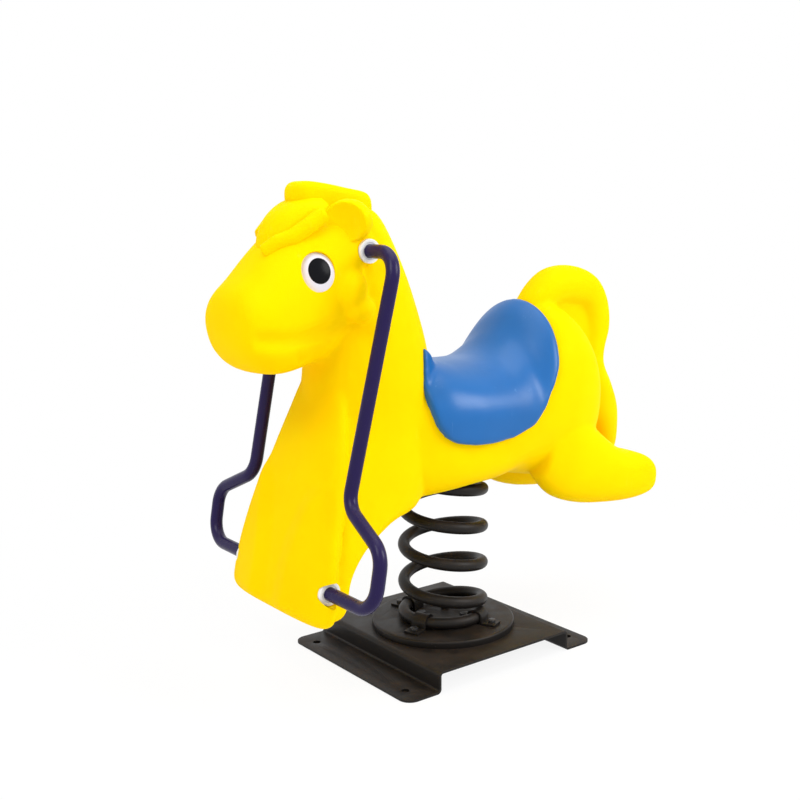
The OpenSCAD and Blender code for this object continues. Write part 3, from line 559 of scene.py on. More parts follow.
def more_ribs(ribs, steps):
    """Ribs with smooth ones between them."""
    ribs = np.array(ribs)
    last = len(ribs) - 1
    return [through(ribs[max(i - 1, 0)], ribs[i], ribs[i + 1], ribs[min(i + 2, last)], k / steps)
            for i in range(last) for k in range(steps)] + [ribs[last]]


def rib_rings(ribs, steps=4, sides=32, shift=0.0):
    """Rings of a form over its ribs, each a squared ellipse, shifted to the left."""
    rings = []
    for xa, za, xb, zb, half, squareness in more_ribs(ribs, steps):
        ring = []
        for k in range(sides):
            a = 2 * pi * k / sides
            u = swell(cos(a), squareness)
            v = swell(sin(a), squareness)
            ring.append(Vector(((xa + xb) / 2 + (xa - xb) / 2 * u, shift + half * v,
                                RIDER_Z + (za + zb) / 2 + (za - zb) / 2 * u)))
        rings.append(ring)
    return rings


def circle(middle, radius, across, up, sides):
    """Points round a middle, in the plane of two directions."""
    return [middle + radius * (cos(2 * pi * k / sides) * across + sin(2 * pi * k / sides) * up)
            for k in range(sides)]


def lump(name, shape, side=1):
    """An egg on the moulding, on the left side or, with side -1, on the right."""
    (x, y, z), radii, turn = shape
    put_down()
    bpy.ops.mesh.primitive_uv_sphere_add(segments=28, ring_count=16, radius=1, scale=radii,
                                         location=(x, side * y, RIDER_Z + z), rotation=(0, radians(turn), 0))
    piece = bpy.context.object
    piece.name = name
    settle(piece)
    return piece


def cylinder(name, radius, depth, place, turn=Matrix.Identity(4), sides=64):
    """A cylinder that stands on a place and points along the turned Z axis."""
    put_down()
    bpy.ops.mesh.primitive_cylinder_add(vertices=sides, radius=radius, depth=depth,
                                        location=(0, 0, depth / 2))
    piece = bpy.context.object
    piece.name = name
    settle(piece)
    piece.data.transform(Matrix.Translation(place) @ turn)
    return piece


def skin_points(piece):
    """Places and normals of a piece's points."""
    mesh = piece.data
    place = np.empty(len(mesh.vertices) * 3)
    mesh.vertices.foreach_get("co", place)
    normal = np.empty(len(mesh.vertices) * 3)
    mesh.vertex_normals.foreach_get("vector", normal)
    return place.reshape(-1, 3), normal.reshape(-1, 3)


def move_skin(piece, place):
    """Puts a piece's points at these places."""
    piece.data.vertices.foreach_set("co", place.ravel())
    piece.data.update()


def eased(value, low, high):
    """0 below low, 1 above high, and a soft step between."""
    t = np.clip((value - low) / (high - low), 0, 1)
    return t * t * (3 - 2 * t)


def raise_legs(piece):
    """Raises the legs out of the front plate: crests that run apart upwards and fall away to the sides."""
    place, normal = skin_points(piece)
    across = np.abs(place[:, 1])
    border = np.interp(place[:, 2], *BULGE_BORDER)
    fall = 1 - np.clip((across - border) / (BULGE_SIDE - border), 0, 1)
    rise = eased(across - border, -BULGE_RUN, 0) * fall * np.clip(normal[:, 0], 0, 1)
    rise *= (1 - eased(place[:, 2], *BULGE_TOP)) * eased(place[:, 2], *BULGE_FOOT)
    move_skin(piece, place + normal * (BULGE_RISE * rise)[:, None])


def stroke(piece, points, reach, height):
    """Presses or raises a soft line on a piece along some points, and its mirror image on the other side."""
    place, normal = skin_points(piece)
    folded = place * (1, 0, 1) + np.abs(place) * (0, 1, 0)
    near = np.full(len(place), 1e9)
    for a, b in zip(points[:-1], points[1:]):
        a, b = np.array(a), np.array(b)
        t = np.clip((folded - a) @ (b - a) / ((b - a) @ (b - a)), 0, 1)
        near = np.minimum(near, np.linalg.norm(folded - a - t[:, None] * (b - a), axis=1))
    move_skin(piece, place + normal * (height * np.exp(-(near / reach) ** 2))[:, None])


def copy_of(node, name, edge):
    """A copy of a CAD node with its flat faces joined and its edges rounded."""
    piece = bpy.data.objects.new(name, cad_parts[node].data.copy())
    piece.data.materials.clear()
    bpy.context.scene.collection.objects.link(piece)
    with editing(piece):
        bpy.ops.mesh.remove_doubles(threshold=SAME_POINT)
        bpy.ops.mesh.dissolve_limited(angle_limit=radians(FLAT))
    modify(piece, "BEVEL", width=edge, segments=3, limit_method="ANGLE", angle_limit=radians(COPY_SHARP),
           use_clamp_overlap=True, harden_normals=False)
    shade(piece, COPY_SHARP)
    return piece


def finish(piece, body, material, node):
    """Gives a piece its finish and its body, and hides the node that it stands for."""
    piece.data.materials.clear()
    piece.data.materials.append(material)
    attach(piece, body)
    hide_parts(node)


# Node helpers
def set_inputs(node, **values):
    """Sets a node's inputs by name, with _ for a space."""
    for name, value in values.items():
        node.inputs[name.replace("_", " ")].default_value = value


def add(tree, kind, place=(0, 0), **values):
    """A node with its values set; a key that is no setting of the node names an input."""
    node = tree.nodes.new(kind)
    node.location = place
    for name, value in values.items():
        if hasattr(node, name):
            setattr(node, name, value)
        else:
            set_inputs(node, **{name: value})
    return node


def group_tree(name, inputs, outputs):
    """An empty shader group with named float inputs and outputs."""
    tree = bpy.data.node_groups.new(name, "ShaderNodeTree")
    for label, default in inputs:
        socket = tree.interface.new_socket(name=label, in_out="INPUT", socket_type="NodeSocketFloat")
        socket.default_value = default
    for label in outputs:
        tree.interface.new_socket(name=label, in_out="OUTPUT", socket_type="NodeSocketFloat")
    return tree, add(tree, "NodeGroupInput", (-900, 0)), add(tree, "NodeGroupOutput", (700, 0))


def noise(tree, where, place, scale, detail, rough=0.55):
    """A noise value on given coordinates."""
    node = add(tree, "ShaderNodeTexNoise", place, Scale=scale, Detail=detail, Roughness=rough)
    tree.links.new(where, node.inputs["Vector"])
    return node.outputs["Fac"]


def band(tree, value, place, low, high):
    """Maps a value's band between low and high to 0 to 1, softly."""
    node = add(tree, "ShaderNodeMapRange", place, interpolation_type="SMOOTHSTEP", From_Min=low, From_Max=high)
    tree.links.new(value, node.inputs["Value"])
    return node.outputs["Result"]


def compute(tree, operation, first, second, place, third=0.0):
    """A math node on values or sockets."""
    node = add(tree, "ShaderNodeMath", place, operation=operation)
    for socket, value in zip(node.inputs, (first, second, third)):
        if isinstance(value, (int, float)):
            socket.default_value = value
        else:
            tree.links.new(value, socket)
    return node.outputs[0]


def mix(tree, factor, first, second, place):
    """A colour mix; each colour is a socket or a colour value."""
    node = add(tree, "ShaderNodeMix", place, data_type="RGBA")
    for index, value in zip(MIX_INPUTS, (factor, first, second)):
        if isinstance(value, bpy.types.NodeSocket):
            tree.links.new(value, node.inputs[index])
        else:
            node.inputs[index].default_value = (*value, 1)
    return node.outputs[MIX_RESULT]


def moulded_skin_group():
    """Skin of a rotation moulding: fine orange peel, broad waves, soft patches and rubbed streaks."""
    if "moulded skin" in bpy.data.node_groups:
        return bpy.data.node_groups["moulded skin"]
    tree, given, out = group_tree("moulded skin", (("Peel", 0.5), ("Wave", 0.5)),
                                  ("Height", "Patches", "Rubs"))
    where = add(tree, "ShaderNodeTexCoord", (-900, 300)).outputs["Object"]
    peel = noise(tree, where, (-600, 300), scale=620, detail=2)
    wave = noise(tree, where, (-600, 60), scale=17, detail=2)
    patches = noise(tree, where, (-600, -180), scale=5.5, detail=4)
    streak = add(tree, "ShaderNodeMapping", (-760, -420), Scale=(70, 90, 9))
    tree.links.new(where, streak.inputs["Vector"])
    rubs = noise(tree, streak.outputs["Vector"], (-600, -420), scale=1, detail=5, rough=0.7)
    area = noise(tree, where, (-600, -660), scale=7, detail=2)
    tall = compute(tree, "MULTIPLY", peel, given.outputs["Peel"], (-300, 300))
    broad = compute(tree, "MULTIPLY", wave, given.outputs["Wave"], (-300, 60))
    tree.links.new(compute(tree, "ADD", tall, broad, (0, 200)), out.inputs["Height"])
    tree.links.new(band(tree, patches, (-300, -180), low=0.38, high=0.68), out.inputs["Patches"])
    scratch = band(tree, rubs, (-300, -420), low=0.60, high=0.74)
    where_rubbed = band(tree, area, (-300, -660), low=0.50, high=0.66)
    tree.links.new(compute(tree, "MULTIPLY", scratch, where_rubbed, (0, -420)), out.inputs["Rubs"])
    return tree


def outdoor_group():
    """Dry soil that settles on faces that look up, and worn specks in a coat."""
    if "outdoor dust" in bpy.data.node_groups:
        return bpy.data.node_groups["outdoor dust"]
    tree, given, out = group_tree("outdoor dust", (("Amount", 0.5), ("Grain", 1.0)),
                                  ("Dust", "Specks", "Height"))
    where = add(tree, "ShaderNodeTexCoord", (-900, 300)).outputs["Object"]
    facing = add(tree, "ShaderNodeSeparateXYZ", (-600, 420))
    tree.links.new(add(tree, "ShaderNodeNewGeometry", (-780, 480)).outputs["Normal"], facing.inputs[0])
    up = band(tree, facing.outputs["Z"], (-420, 420), low=-0.2, high=1.0)
    cloud = noise(tree, where, (-600, 180), scale=26, detail=6, rough=0.65)
    fine = noise(tree, where, (-600, -60), scale=480, detail=3, rough=0.7)
    drift = band(tree, cloud, (-420, 180), low=0.34, high=0.68)
    settled = compute(tree, "MULTIPLY", up, drift, (-200, 320))
    tree.links.new(compute(tree, "MULTIPLY", settled, given.outputs["Amount"], (0, 320)), out.inputs["Dust"])
    specks = band(tree, fine, (-420, -60), low=0.66, high=0.72)
    tree.links.new(compute(tree, "MULTIPLY", specks, drift, (-200, -60)), out.inputs["Specks"])
    grain = compute(tree, "MULTIPLY", fine, given.outputs["Grain"], (-200, -260))
    tree.links.new(grain, out.inputs["Height"])
    return tree


def material_tree(name):
    """A new material, its tree and the shader in it."""
    material = bpy.data.materials.new(name)
    material.use_nodes = True
    return material, material.node_tree, material.node_tree.nodes["Principled BSDF"]


def bump(tree, shader, height, distance):
    """Roughens a shader's surface by a height."""
    node = add(tree, "ShaderNodeBump", (-300, -500), Strength=BUMP_STRENGTH, Distance=distance)
    tree.links.new(height, node.inputs["Height"])
    tree.links.new(node.outputs["Normal"], shader.inputs["Normal"])


def moulded_plastic(name, colour, deep, rubbed, rough, peel, wave, gloss=0.3, subsurface=0.0):
    """Moulded plastic with orange peel, soft patches of a deeper colour and rubbed streaks."""
    if name in bpy.data.materials:
        return bpy.data.materials[name]
    material, tree, shader = material_tree(name)
    skin = add(tree, "ShaderNodeGroup", (-900, 0), node_tree=moulded_skin_group(), Peel=peel, Wave=wave)
    patches, rubs = skin.outputs["Patches"], skin.outputs["Rubs"]
    deeper = compute(tree, "MULTIPLY", patches, PATCH_TINT, (-700, 200))
    paler = compute(tree, "MULTIPLY", rubs, RUB_TINT, (-500, 0))
    toned = mix(tree, deeper, colour, deep, (-500, 200))
    tree.links.new(mix(tree, paler, toned, rubbed, (-300, 100)), shader.inputs["Base Color"])
    rougher = compute(tree, "MULTIPLY", rubs, RUB_ROUGHNESS, (-500, -160))
    patchy = compute(tree, "MULTIPLY_ADD", patches, PATCH_ROUGHNESS, (-500, -320), rough)
    tree.links.new(compute(tree, "ADD", rougher, patchy, (-300, -200)), shader.inputs["Roughness"])
    bump(tree, shader, skin.outputs["Height"], PEEL_DEPTH)
    set_inputs(shader, Specular_IOR_Level=gloss)
    if subsurface:
        set_inputs(shader, Subsurface_Weight=subsurface, Subsurface_Radius=SUBSURFACE_RADIUS,
                   Subsurface_Scale=SUBSURFACE_SCALE)
    return material


def coated_steel(name, colour, rough, amount, dust=None, worn=(0.20, 0.19, 0.18), gloss=0.3, metallic=0.0):
    """Painted or plated steel with dry soil on top and small worn specks."""
    if name in bpy.data.materials:
        return bpy.data.materials[name]
    material, tree, shader = material_tree(name)
    soil = add(tree, "ShaderNodeGroup", (-900, 0), node_tree=outdoor_group(), Amount=amount, Grain=1.0)
    specks = compute(tree, "MULTIPLY", soil.outputs["Specks"], SPECK_TINT, (-700, 200))
    chipped = mix(tree, specks, colour, worn, (-500, 200))
    dusty = mix(tree, soil.outputs["Dust"], chipped, dust or colours().dust, (-300, 100))
    tree.links.new(dusty, shader.inputs["Base Color"])
    dull = compute(tree, "MULTIPLY_ADD", soil.outputs["Dust"], SOIL_ROUGHNESS, (-500, -160), rough)
    tree.links.new(dull, shader.inputs["Roughness"])
    bump(tree, shader, soil.outputs["Height"], GRAIN_DEPTH)
    set_inputs(shader, Specular_IOR_Level=gloss, Metallic=metallic)
    return material


def pony_finish():
    return moulded_plastic("yellow moulding", colours().moulding, deep=colours().moulding_deep,
                           rubbed=(1.0, 0.74, 0.05), rough=0.5, peel=0.5, wave=0.5, gloss=0.012,
                           subsurface=0.15)


def saddle_finish():
    return moulded_plastic("blue moulding", colours().saddle, deep=[c * 0.8 for c in colours().saddle],
                           rubbed=(0.16, 0.34, 0.62), rough=0.30, peel=0.3, wave=0.4)


def bar_finish():
    return coated_steel("violet gloss paint", colours().bar, rough=0.26, amount=0.06, dust=(0.12, 0.10, 0.12),
                        worn=(0.10, 0.08, 0.16), gloss=0.17)


def black_finish():
    return coated_steel("black powder coat", colours().black, rough=0.42, amount=0.30, gloss=0.19)


def zinc_finish():
    return coated_steel("zinc plate", (0.55, 0.56, 0.58), rough=0.35, amount=0.25, worn=(0.35, 0.33, 0.30),
                        metallic=1.0)


def bolt_finish():
    return coated_steel("blackened bolts", (0.05, 0.05, 0.052), rough=0.38, amount=0.4, worn=(0.3, 0.29, 0.28),
                        metallic=0.6)


def brass_finish():
    return coated_steel("insert brass", (0.75, 0.52, 0.20), rough=0.3, amount=0.05, worn=(0.5, 0.35, 0.15),
                        metallic=1.0)


def white_finish():
    return moulded_plastic("white plastic", colours().white, deep=(0.78, 0.77, 0.74), rubbed=(0.6, 0.58, 0.55),
                           rough=0.35, peel=0.2, wave=0.1)


def eye_white_finish():
    return moulded_plastic("eye white", colours().eye_white, deep=(0.66, 0.63, 0.70), rubbed=(0.55, 0.53, 0.56),
                           rough=0.28, peel=0.15, wave=0.1, gloss=0.2)


def pupil_finish():
    return moulded_plastic("eye black", colours().pupil, deep=(0.010, 0.010, 0.013), rubbed=(0.06, 0.06, 0.07),
                           rough=0.25, peel=0.15, wave=0.1, gloss=0.06)


# Pieces, one operator for each kind
def side_turn(side):
    """Turns +Z to the pony's left, or to its right with side -1."""
    return Matrix.Rotation(radians(-90 * side), 4, "X")


def eye_frame(side):
    """The plane of an eye, with +Z out of the head."""
    x, y, z = EYE_AT
    yaw = Matrix.Rotation(radians(-side * EYE_YAW), 4, "Z")
    pitch = Matrix.Rotation(radians(side * (EYE_PITCH - 90)), 4, "X")
    return Matrix.Translation((x, side * y, RIDER_Z + z)) @ (yaw @ pitch) @ Matrix.Diagonal(EYE_STRETCH)


def pony_forms():
    """The large overlapping forms that the moulding is blended from."""
    forms = [loft("form", rib_rings(ribs)) for ribs in (
        NECK_RIBS, LEG_RIBS, TRUNK_RIBS, HIND_WEB_RIBS, HEAD_RIBS, TAIL_RIBS, TAIL_WEB_RIBS)]
    for side in (1, -1):
        forms += [loft("form", rib_rings(HIND_RIBS, shift=side * HIND_LEG_Y)), lump("form", CHEEK, side),
                  lump("form", LEAF, side)]
    return forms


def pony_details():
    """The crisper forms of the head: crest, forelock with its fringe, and hollow ears."""
    details = [loft("detail", rib_rings(ribs, sides=64)) for ribs in (CREST_RIBS, FORELOCK_RIBS)]
    for side in (1, -1):
        ear = lump("detail", EAR, side)
        combine(ear, "DIFFERENCE", lump("hollow", EAR_HOLLOW, side))
        fringe = [(x, side * y, z) for x, y, z in (FRINGE if side > 0 else FRINGE[FRINGE_FAR:])]
        details += [ear, loft("detail", tube_rings(fringe, FRINGE_RADIUS, FRINGE_BEND))]
    for detail in details:
        even_out(detail, DETAIL_VOXEL, DETAIL_SMOOTHING)
    return details


def pony_cutters():
    """What is cut out of the moulding: the spring plate's pocket and the seats of the collars and eyes."""
    deep = 3 * BELLY_DROP
    cutters = [cylinder("cutter", POCKET_RADIUS, deep, (0, 0, RIDER_Z - deep), sides=96)]
    seat = sizes().collar / 2 + COLLAR_GAP
    for side, _ in HANDS:
        for (x, z), y, _ in BAR_ENDS:
            place = (x, side * y, RIDER_Z + z)
            cutters.append(cylinder("cutter", seat, 2 * sizes().collar, place, side_turn(side)))
        eye = eye_frame(side)
        cutters.append(cylinder("cutter", sizes().eye / 2 + EYE_GAP, sizes().eye, eye.translation,
                                eye.to_3x3().to_4x4()))
    return cutters


class RIDER_OT_pony(bpy.types.Operator):
    """Model the pony's moulding: forms over ribs, blended, cut and stroked."""
    bl_idname = "rider.pony"
    bl_label = "Pony"

    def execute(self, context):
        pony = join(pony_forms(), "pony_body")
        even_out(pony, sizes().voxel, PONY_SMOOTHING)
        raise_legs(pony)
        for points, reach, height in STROKES:
            stroke(pony, points, reach, height)
        for detail in pony_details():
            combine(pony, "UNION", detail)
        combine(pony, "DIFFERENCE", join(pony_cutters(), "cutter"))
        shade(pony, PONY_SHARP)
        finish(pony, "rider", pony_finish(), "body_shell")
        return {"FINISHED"}


def grown_pony(name, by):
    """A closed copy of the pony's skin, grown or, with a negative value, shrunk."""
    piece = bpy.data.objects.new(name, bpy.data.objects["pony_body"].data.copy())
    bpy.context.scene.collection.objects.link(piece)
    modify(piece, "DISPLACE", strength=by, mid_level=0.0)
    modify(piece, "REMESH", mode="VOXEL", voxel_size=UNDER_VOXEL)
    return piece


def prism(name, outline, half):
    """A side view's outline, extruded across the pony."""
    put_down()
    bpy.ops.mesh.primitive_circle_add(vertices=len(outline), radius=0.1, fill_type="NGON")
    piece = bpy.context.object
    piece.name = name
    for corner, (x, z) in zip(piece.data.vertices, outline):
        corner.co = (x, -half, RIDER_Z + z)
    with editing(piece):
        bpy.ops.mesh.extrude_region_move(TRANSFORM_OT_translate={"value": (0, 2 * half, 0)})
    close_up(piece)
    return piece


def trim(piece, outline):
    """Keeps what lies inside a side view's outline."""
    combine(piece, "INTERSECT", prism("side_view", outline, 2 * SADDLE_HALF))


def drape_rings(ribs, steps=6, arch=48, fall=6):
    """Rings of a form that is draped over the trunk: an arch across, and straight flaps down to one level."""
    rings = []
    for x_top, z_top, x_low, z_low, half, squareness in more_ribs(ribs, steps):
        ring = []
        for k in range(arch + 1):
            a = pi * k / arch
            lift = swell(sin(a), squareness)
            ring.append((x_low + (x_top - x_low) * lift, half * swell(cos(a), squareness),
                         z_low + (z_top - z_low) * lift))
        for k in range(1, fall + 1):
            ring.append((x_low, -half, z_low + (SADDLE_FOOT - z_low) * k / fall))
        for k in range(fall):
            ring.append((x_low, half, SADDLE_FOOT + (z_low - SADDLE_FOOT) * k / fall))
        rings.append([Vector((x, y, RIDER_Z + z)) for x, y, z in ring])
    return rings


class RIDER_OT_saddle(bpy.types.Operator):
    """Model the saddle over the pony's trunk."""
    bl_idname = "rider.saddle"
    bl_label = "Saddle"

    def execute(self, context):
        seat = loft("seat", drape_rings(SADDLE_RIBS))
        trim(seat, SADDLE_OUTLINE)
        lip = grown_pony("lip", SADDLE_SKIN)
        trim(lip, LIP_OUTLINE)
        saddle = join([seat, lip], "saddle_seat")
        even_out(saddle, SADDLE_VOXEL, SEAT_SMOOTHING)
        combine(saddle, "DIFFERENCE", grown_pony("under", -SADDLE_SINK))
        even_out(saddle, SADDLE_VOXEL, SADDLE_SMOOTHING)
        pick_up(saddle)
        bpy.ops.object.shade_smooth()
        finish(saddle, "rider", saddle_finish(), "saddle")
        return {"FINISHED"}


def tube_rings(route, radius, bend, sides=32, bend_steps=10):
    """Rings along a route of straight legs with true bends."""
    route = [Vector(p) for p in route]
    stations = [route[0]]
    for before, corner, after in zip(route[:-2], route[1:-1], route[2:]):
        along, out = (corner - before).normalized(), (after - corner).normalized()
        turn = along.angle(out)
        inward = (out - along * along.dot(out)).normalized()
        start = corner - along * bend * tan(turn / 2)
        for k in range(bend_steps + 1):
            a = turn * k / bend_steps
            stations.append(start + inward * bend * (1 - cos(a)) + along * bend * sin(a))
    stations.append(route[-1])
    rings = []
    across = None
    for i, point in enumerate(stations):
        along = (stations[min(i + 1, len(stations) - 1)] - stations[max(i - 1, 0)]).normalized()
        if across is None:
            across = along.orthogonal().normalized()
        across = (across - along * across.dot(along)).normalized()
        up = along.cross(across)
        rings.append(circle(point, radius, across, up, sides))
    return rings


class RIDER_OT_bars(bpy.types.Operator):
    """Model the two bent side bars."""
    bl_idname = "rider.bars"
    bl_label = "Side bars"

    def execute(self, context):
        for side, hand in HANDS:
            route = [(x, side * y, RIDER_Z + z) for x, y, z in BAR_ROUTE]
            bar = loft(hand + "_bar_tube", tube_rings(route, sizes().bar / 2, sizes().bar_bend))
            shade(bar)
            finish(bar, "rider", bar_finish(), hand + "_bar")
        return {"FINISHED"}


class RIDER_OT_collars(bpy.types.Operator):
    """Model the four white collars where the bars enter the pony."""
    bl_idname = "rider.collars"
    bl_label = "Collars"

    def execute(self, context):
        for side, hand in HANDS:
            for (x, z), y, level in BAR_ENDS:
                name = "%s_%s_collar" % (hand, level)
                collar = cylinder(name + "_flange", sizes().collar / 2, sizes().collar_thick, (0, 0, 0))
                with editing(collar):
                    bpy.ops.mesh.select_mode(type="FACE")
                    bpy.ops.mesh.select_all(action="DESELECT")
                    skin = bmesh.from_edit_mesh(collar.data)
                    top = max(skin.faces, key=lambda face: face.normal.z)
                    top.select = True
                    bmesh.update_edit_mesh(collar.data)
                    bpy.ops.mesh.inset(thickness=COLLAR_RIM)
                    bpy.ops.mesh.extrude_region_move(TRANSFORM_OT_translate={"value": (0, 0, -COLLAR_STEP)})
                modify(collar, "BEVEL", width=COLLAR_EDGE, segments=4, limit_method="ANGLE",
                       angle_limit=radians(SHARP))
                collar.data.transform(Matrix.Translation((x, side * y, RIDER_Z + z)) @ side_turn(side))
                shade(collar)
                finish(collar, "rider", white_finish(), name)
        return {"FINISHED"}


def ball_radius(radius, rise):
    """Radius of the ball whose cap has this radius and rise."""
    return (radius ** 2 + rise ** 2) / (2 * rise)


def dome(name, radius, rise, place, edge):
    """A domed disc on a plane: a cap of a ball with a short straight rim and a rounded edge."""
    ball = ball_radius(radius, rise)
    put_down()
    bpy.ops.mesh.primitive_uv_sphere_add(segments=64, ring_count=128, radius=ball)
    piece = bpy.context.object
    piece.name = name
    with editing(piece):
        bpy.ops.mesh.bisect(plane_co=(0, 0, ball - rise), plane_no=(0, 0, 1), clear_inner=True, use_fill=False)
        bpy.ops.mesh.select_mode(type="EDGE")
        bpy.ops.mesh.select_all(action="DESELECT")
        skin = bmesh.from_edit_mesh(piece.data)
        for line in skin.edges:
            line.select = line.is_boundary
        bmesh.update_edit_mesh(piece.data)
        bpy.ops.mesh.extrude_region_move(TRANSFORM_OT_translate={"value": (0, 0, -EYE_RIM)})
        bpy.ops.mesh.edge_face_add()
    modify(piece, "BEVEL", width=edge, segments=4, limit_method="ANGLE", angle_limit=radians(SHARP))
    piece.data.transform(place @ Matrix.Translation((0, 0, rise - ball)))
    shade(piece)
    return piece


class RIDER_OT_eyes(bpy.types.Operator):
    """Model the domed eyes with their pupils."""
    bl_idname = "rider.eyes"
    bl_label = "Eyes"

    def execute(self, context):
        radius, rise, pupil_radius = sizes().eye / 2, sizes().eye_rise, sizes().pupil / 2
        rim = rise * (1 - (pupil_radius / radius) ** 2) + PUPIL_PROUD
        pupil_rise = rise + PUPIL_PROUD - rim
        centre = Matrix.Translation((0, 0, rise - ball_radius(radius, rise)))
        down, back = (Matrix.Rotation(radians(angle), 4, axis) for angle, axis in zip(PUPIL_TURN, "XY"))
        look = centre @ down @ back @ centre.inverted() @ Matrix.Translation((0, 0, rim))
        for side, hand in HANDS:
            place = eye_frame(side)
            white = dome(hand + "_eye_dome", radius, rise, place, EYE_EDGE)
            finish(white, "rider", eye_white_finish(), hand + "_eye_white")
            pupil = dome(hand + "_pupil_dome", pupil_radius, pupil_rise, place @ look, PUPIL_EDGE)
            finish(pupil, "rider", pupil_finish(), hand + "_pupil")
        return {"FINISHED"}


def wire_point(a):
    """Middle of the spring wire at an angle counted from its lower end, with eased rises."""
    low = DISC_TOP + sizes().wire / 2 + WIRE_GAP
    turned = (a - FLAT_TURN) / 360
    climb = 0.5 * (sqrt(turned ** 2 + WIRE_EASE ** 2) + turned) - 0.5 * (
        sqrt((turned - FREE_TURNS) ** 2 + WIRE_EASE ** 2) + turned - FREE_TURNS)
    b = radians(WIRE_START - a)
    return Vector((sizes().coil / 2 * cos(b), sizes().coil / 2 * sin(b), low + sizes().pitch * climb))


def wire_rings(start, end, step=6, sides=24):
    """Rings of the wire from one angle to another."""
    count = ceil((end - start) / step)
    rings = []
    for i in range(count + 1):
        a = start + (end - start) * i / count
        along = (wire_point(a + 0.5) - wire_point(a - 0.5)).normalized()
        b = radians(WIRE_START - a)
        out = Vector((cos(b), sin(b), 0))
        up = along.cross(out)
        rings.append(circle(wire_point(a), sizes().wire / 2, out, up, sides))
    return rings


class RIDER_OT_spring(bpy.types.Operator):
    """Model the coil spring in two halves."""
    bl_idname = "rider.spring"
    bl_label = "Spring"

    def execute(self, context):
        middle = WIRE_TURNED / 2
        for name, start, end in (("spring_lower", 0, middle), ("spring_upper", middle, WIRE_TURNED)):
            half = loft(name, wire_rings(start, end))
            shade(half)
            half.data.materials.append(black_finish())
            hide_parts("coil_spring")
        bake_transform(bpy.data.objects["spring_lower"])
        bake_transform(bpy.data.objects["spring_upper"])
        return {"FINISHED"}


class RIDER_OT_base(bpy.types.Operator):
    """Model the folded base, its disc and the plate on top of the spring."""
    bl_idname = "rider.base"
    bl_label = "Base and plates"

    def execute(self, context):
        for node, name, body, slot, edge in (
                ("base_plate", "folded_base", "base", "base_steel", PLATE_EDGE),
                ("lower_spring_disc", "spring_disc", "base", "disc_steel", DISC_EDGE),
                ("upper_spring_plate", "rider_plate", "rider", "disc_steel", PLATE_EDGE)):
            finish(copy_of(node, name, edge), body, black_finish(), node)
        return {"FINISHED"}


class RIDER_OT_clips(bpy.types.Operator):
    """Model the clips that hold the spring, and their bolts."""
    bl_idname = "rider.clips"
    bl_label = "Clips and bolts"

    def execute(self, context):
        for node, body, slot, edge, material in (
                ("lower_spring_clips", "base", "clip_steel", CLIP_EDGE, black_finish()),
                ("upper_spring_clips", "rider", "clip_steel", CLIP_EDGE, black_finish()),
                ("lower_clip_bolts", "base", "bolt_steel", CLIP_BOLT_EDGE, bolt_finish()),
                ("upper_clip_bolts", "rider", "bolt_steel", CLIP_BOLT_EDGE, bolt_finish()),
                ("base_bolts", "base", "bolt_steel", BOLT_EDGE, bolt_finish()),
                ("base_nuts", "base", "bolt_steel", BOLT_EDGE, bolt_finish()),
                ("rider_bolts", "rider", "bolt_steel", BOLT_EDGE, bolt_finish())):
            finish(copy_of(node, node + "_rounded", edge), body, material, node)
        return {"FINISHED"}


class RIDER_OT_hidden(bpy.types.Operator):
    """Finish the fixings inside the moulding."""
    bl_idname = "rider.hidden"
    bl_label = "Inner fixings"

    def execute(self, context):
        for node in ("backing_plate", "rider_nuts", "saddle_bolts", "saddle_inserts", "upper_cross_rod",
                     "lower_cross_rod", "bar_pins"):
            material = brass_finish() if node == "saddle_inserts" else zinc_finish()
            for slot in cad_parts[node].material_slots:
                slot.material = material
        return {"FINISHED"}


def aimed(place):
    """Turn of a lamp or camera that looks at the object from a place."""
    return (Vector(CAMERA_TARGET) - Vector(place)).to_track_quat("-Z", "Y").to_euler()


class RIDER_OT_stage(bpy.types.Operator):
    """Set the floor, the soft lights and the photograph's camera."""
    bl_idname = "rider.stage"
    bl_label = "Stage"

    def execute(self, context):
        scene = context.scene
        scene.view_settings.view_transform = "Standard"
        put_down()
        bpy.ops.mesh.primitive_plane_add(size=FLOOR_SIZE)
        floor = context.object
        floor.name = "floor"
        floor.data.materials.append(floor_finish())
        scene.world = studio_world()
        for name, place, size, power in LAMPS:
            bpy.ops.object.light_add(type="AREA", location=place)
            lamp = context.object
            lamp.name = name
            lamp.data.shape = "DISK"
            lamp.data.size = size
            lamp.data.energy = power
            lamp.rotation_euler = aimed(place)
        bpy.ops.object.camera_add(location=CAMERA_PLACE)
        camera = context.object
        camera.rotation_euler = aimed(CAMERA_PLACE)
        camera.data.lens = CAMERA_LENS
        camera.data.sensor_width = CAMERA_SENSOR
        camera.data.shift_x, camera.data.shift_y = CAMERA_SHIFT
        scene.camera = camera
        return {"FINISHED"}


def seen_straight(tree, place):
    """1 for what the camera, a mirror or glass sees of the background."""
    path = add(tree, "ShaderNodeLightPath", place)
    x, y = place
    first = compute(tree, "MAXIMUM", path.outputs["Is Camera Ray"], path.outputs["Is Glossy Ray"], (x + 200, y))
    return compute(tree, "MAXIMUM", first, path.outputs["Is Transmission Ray"], (x + 400, y))


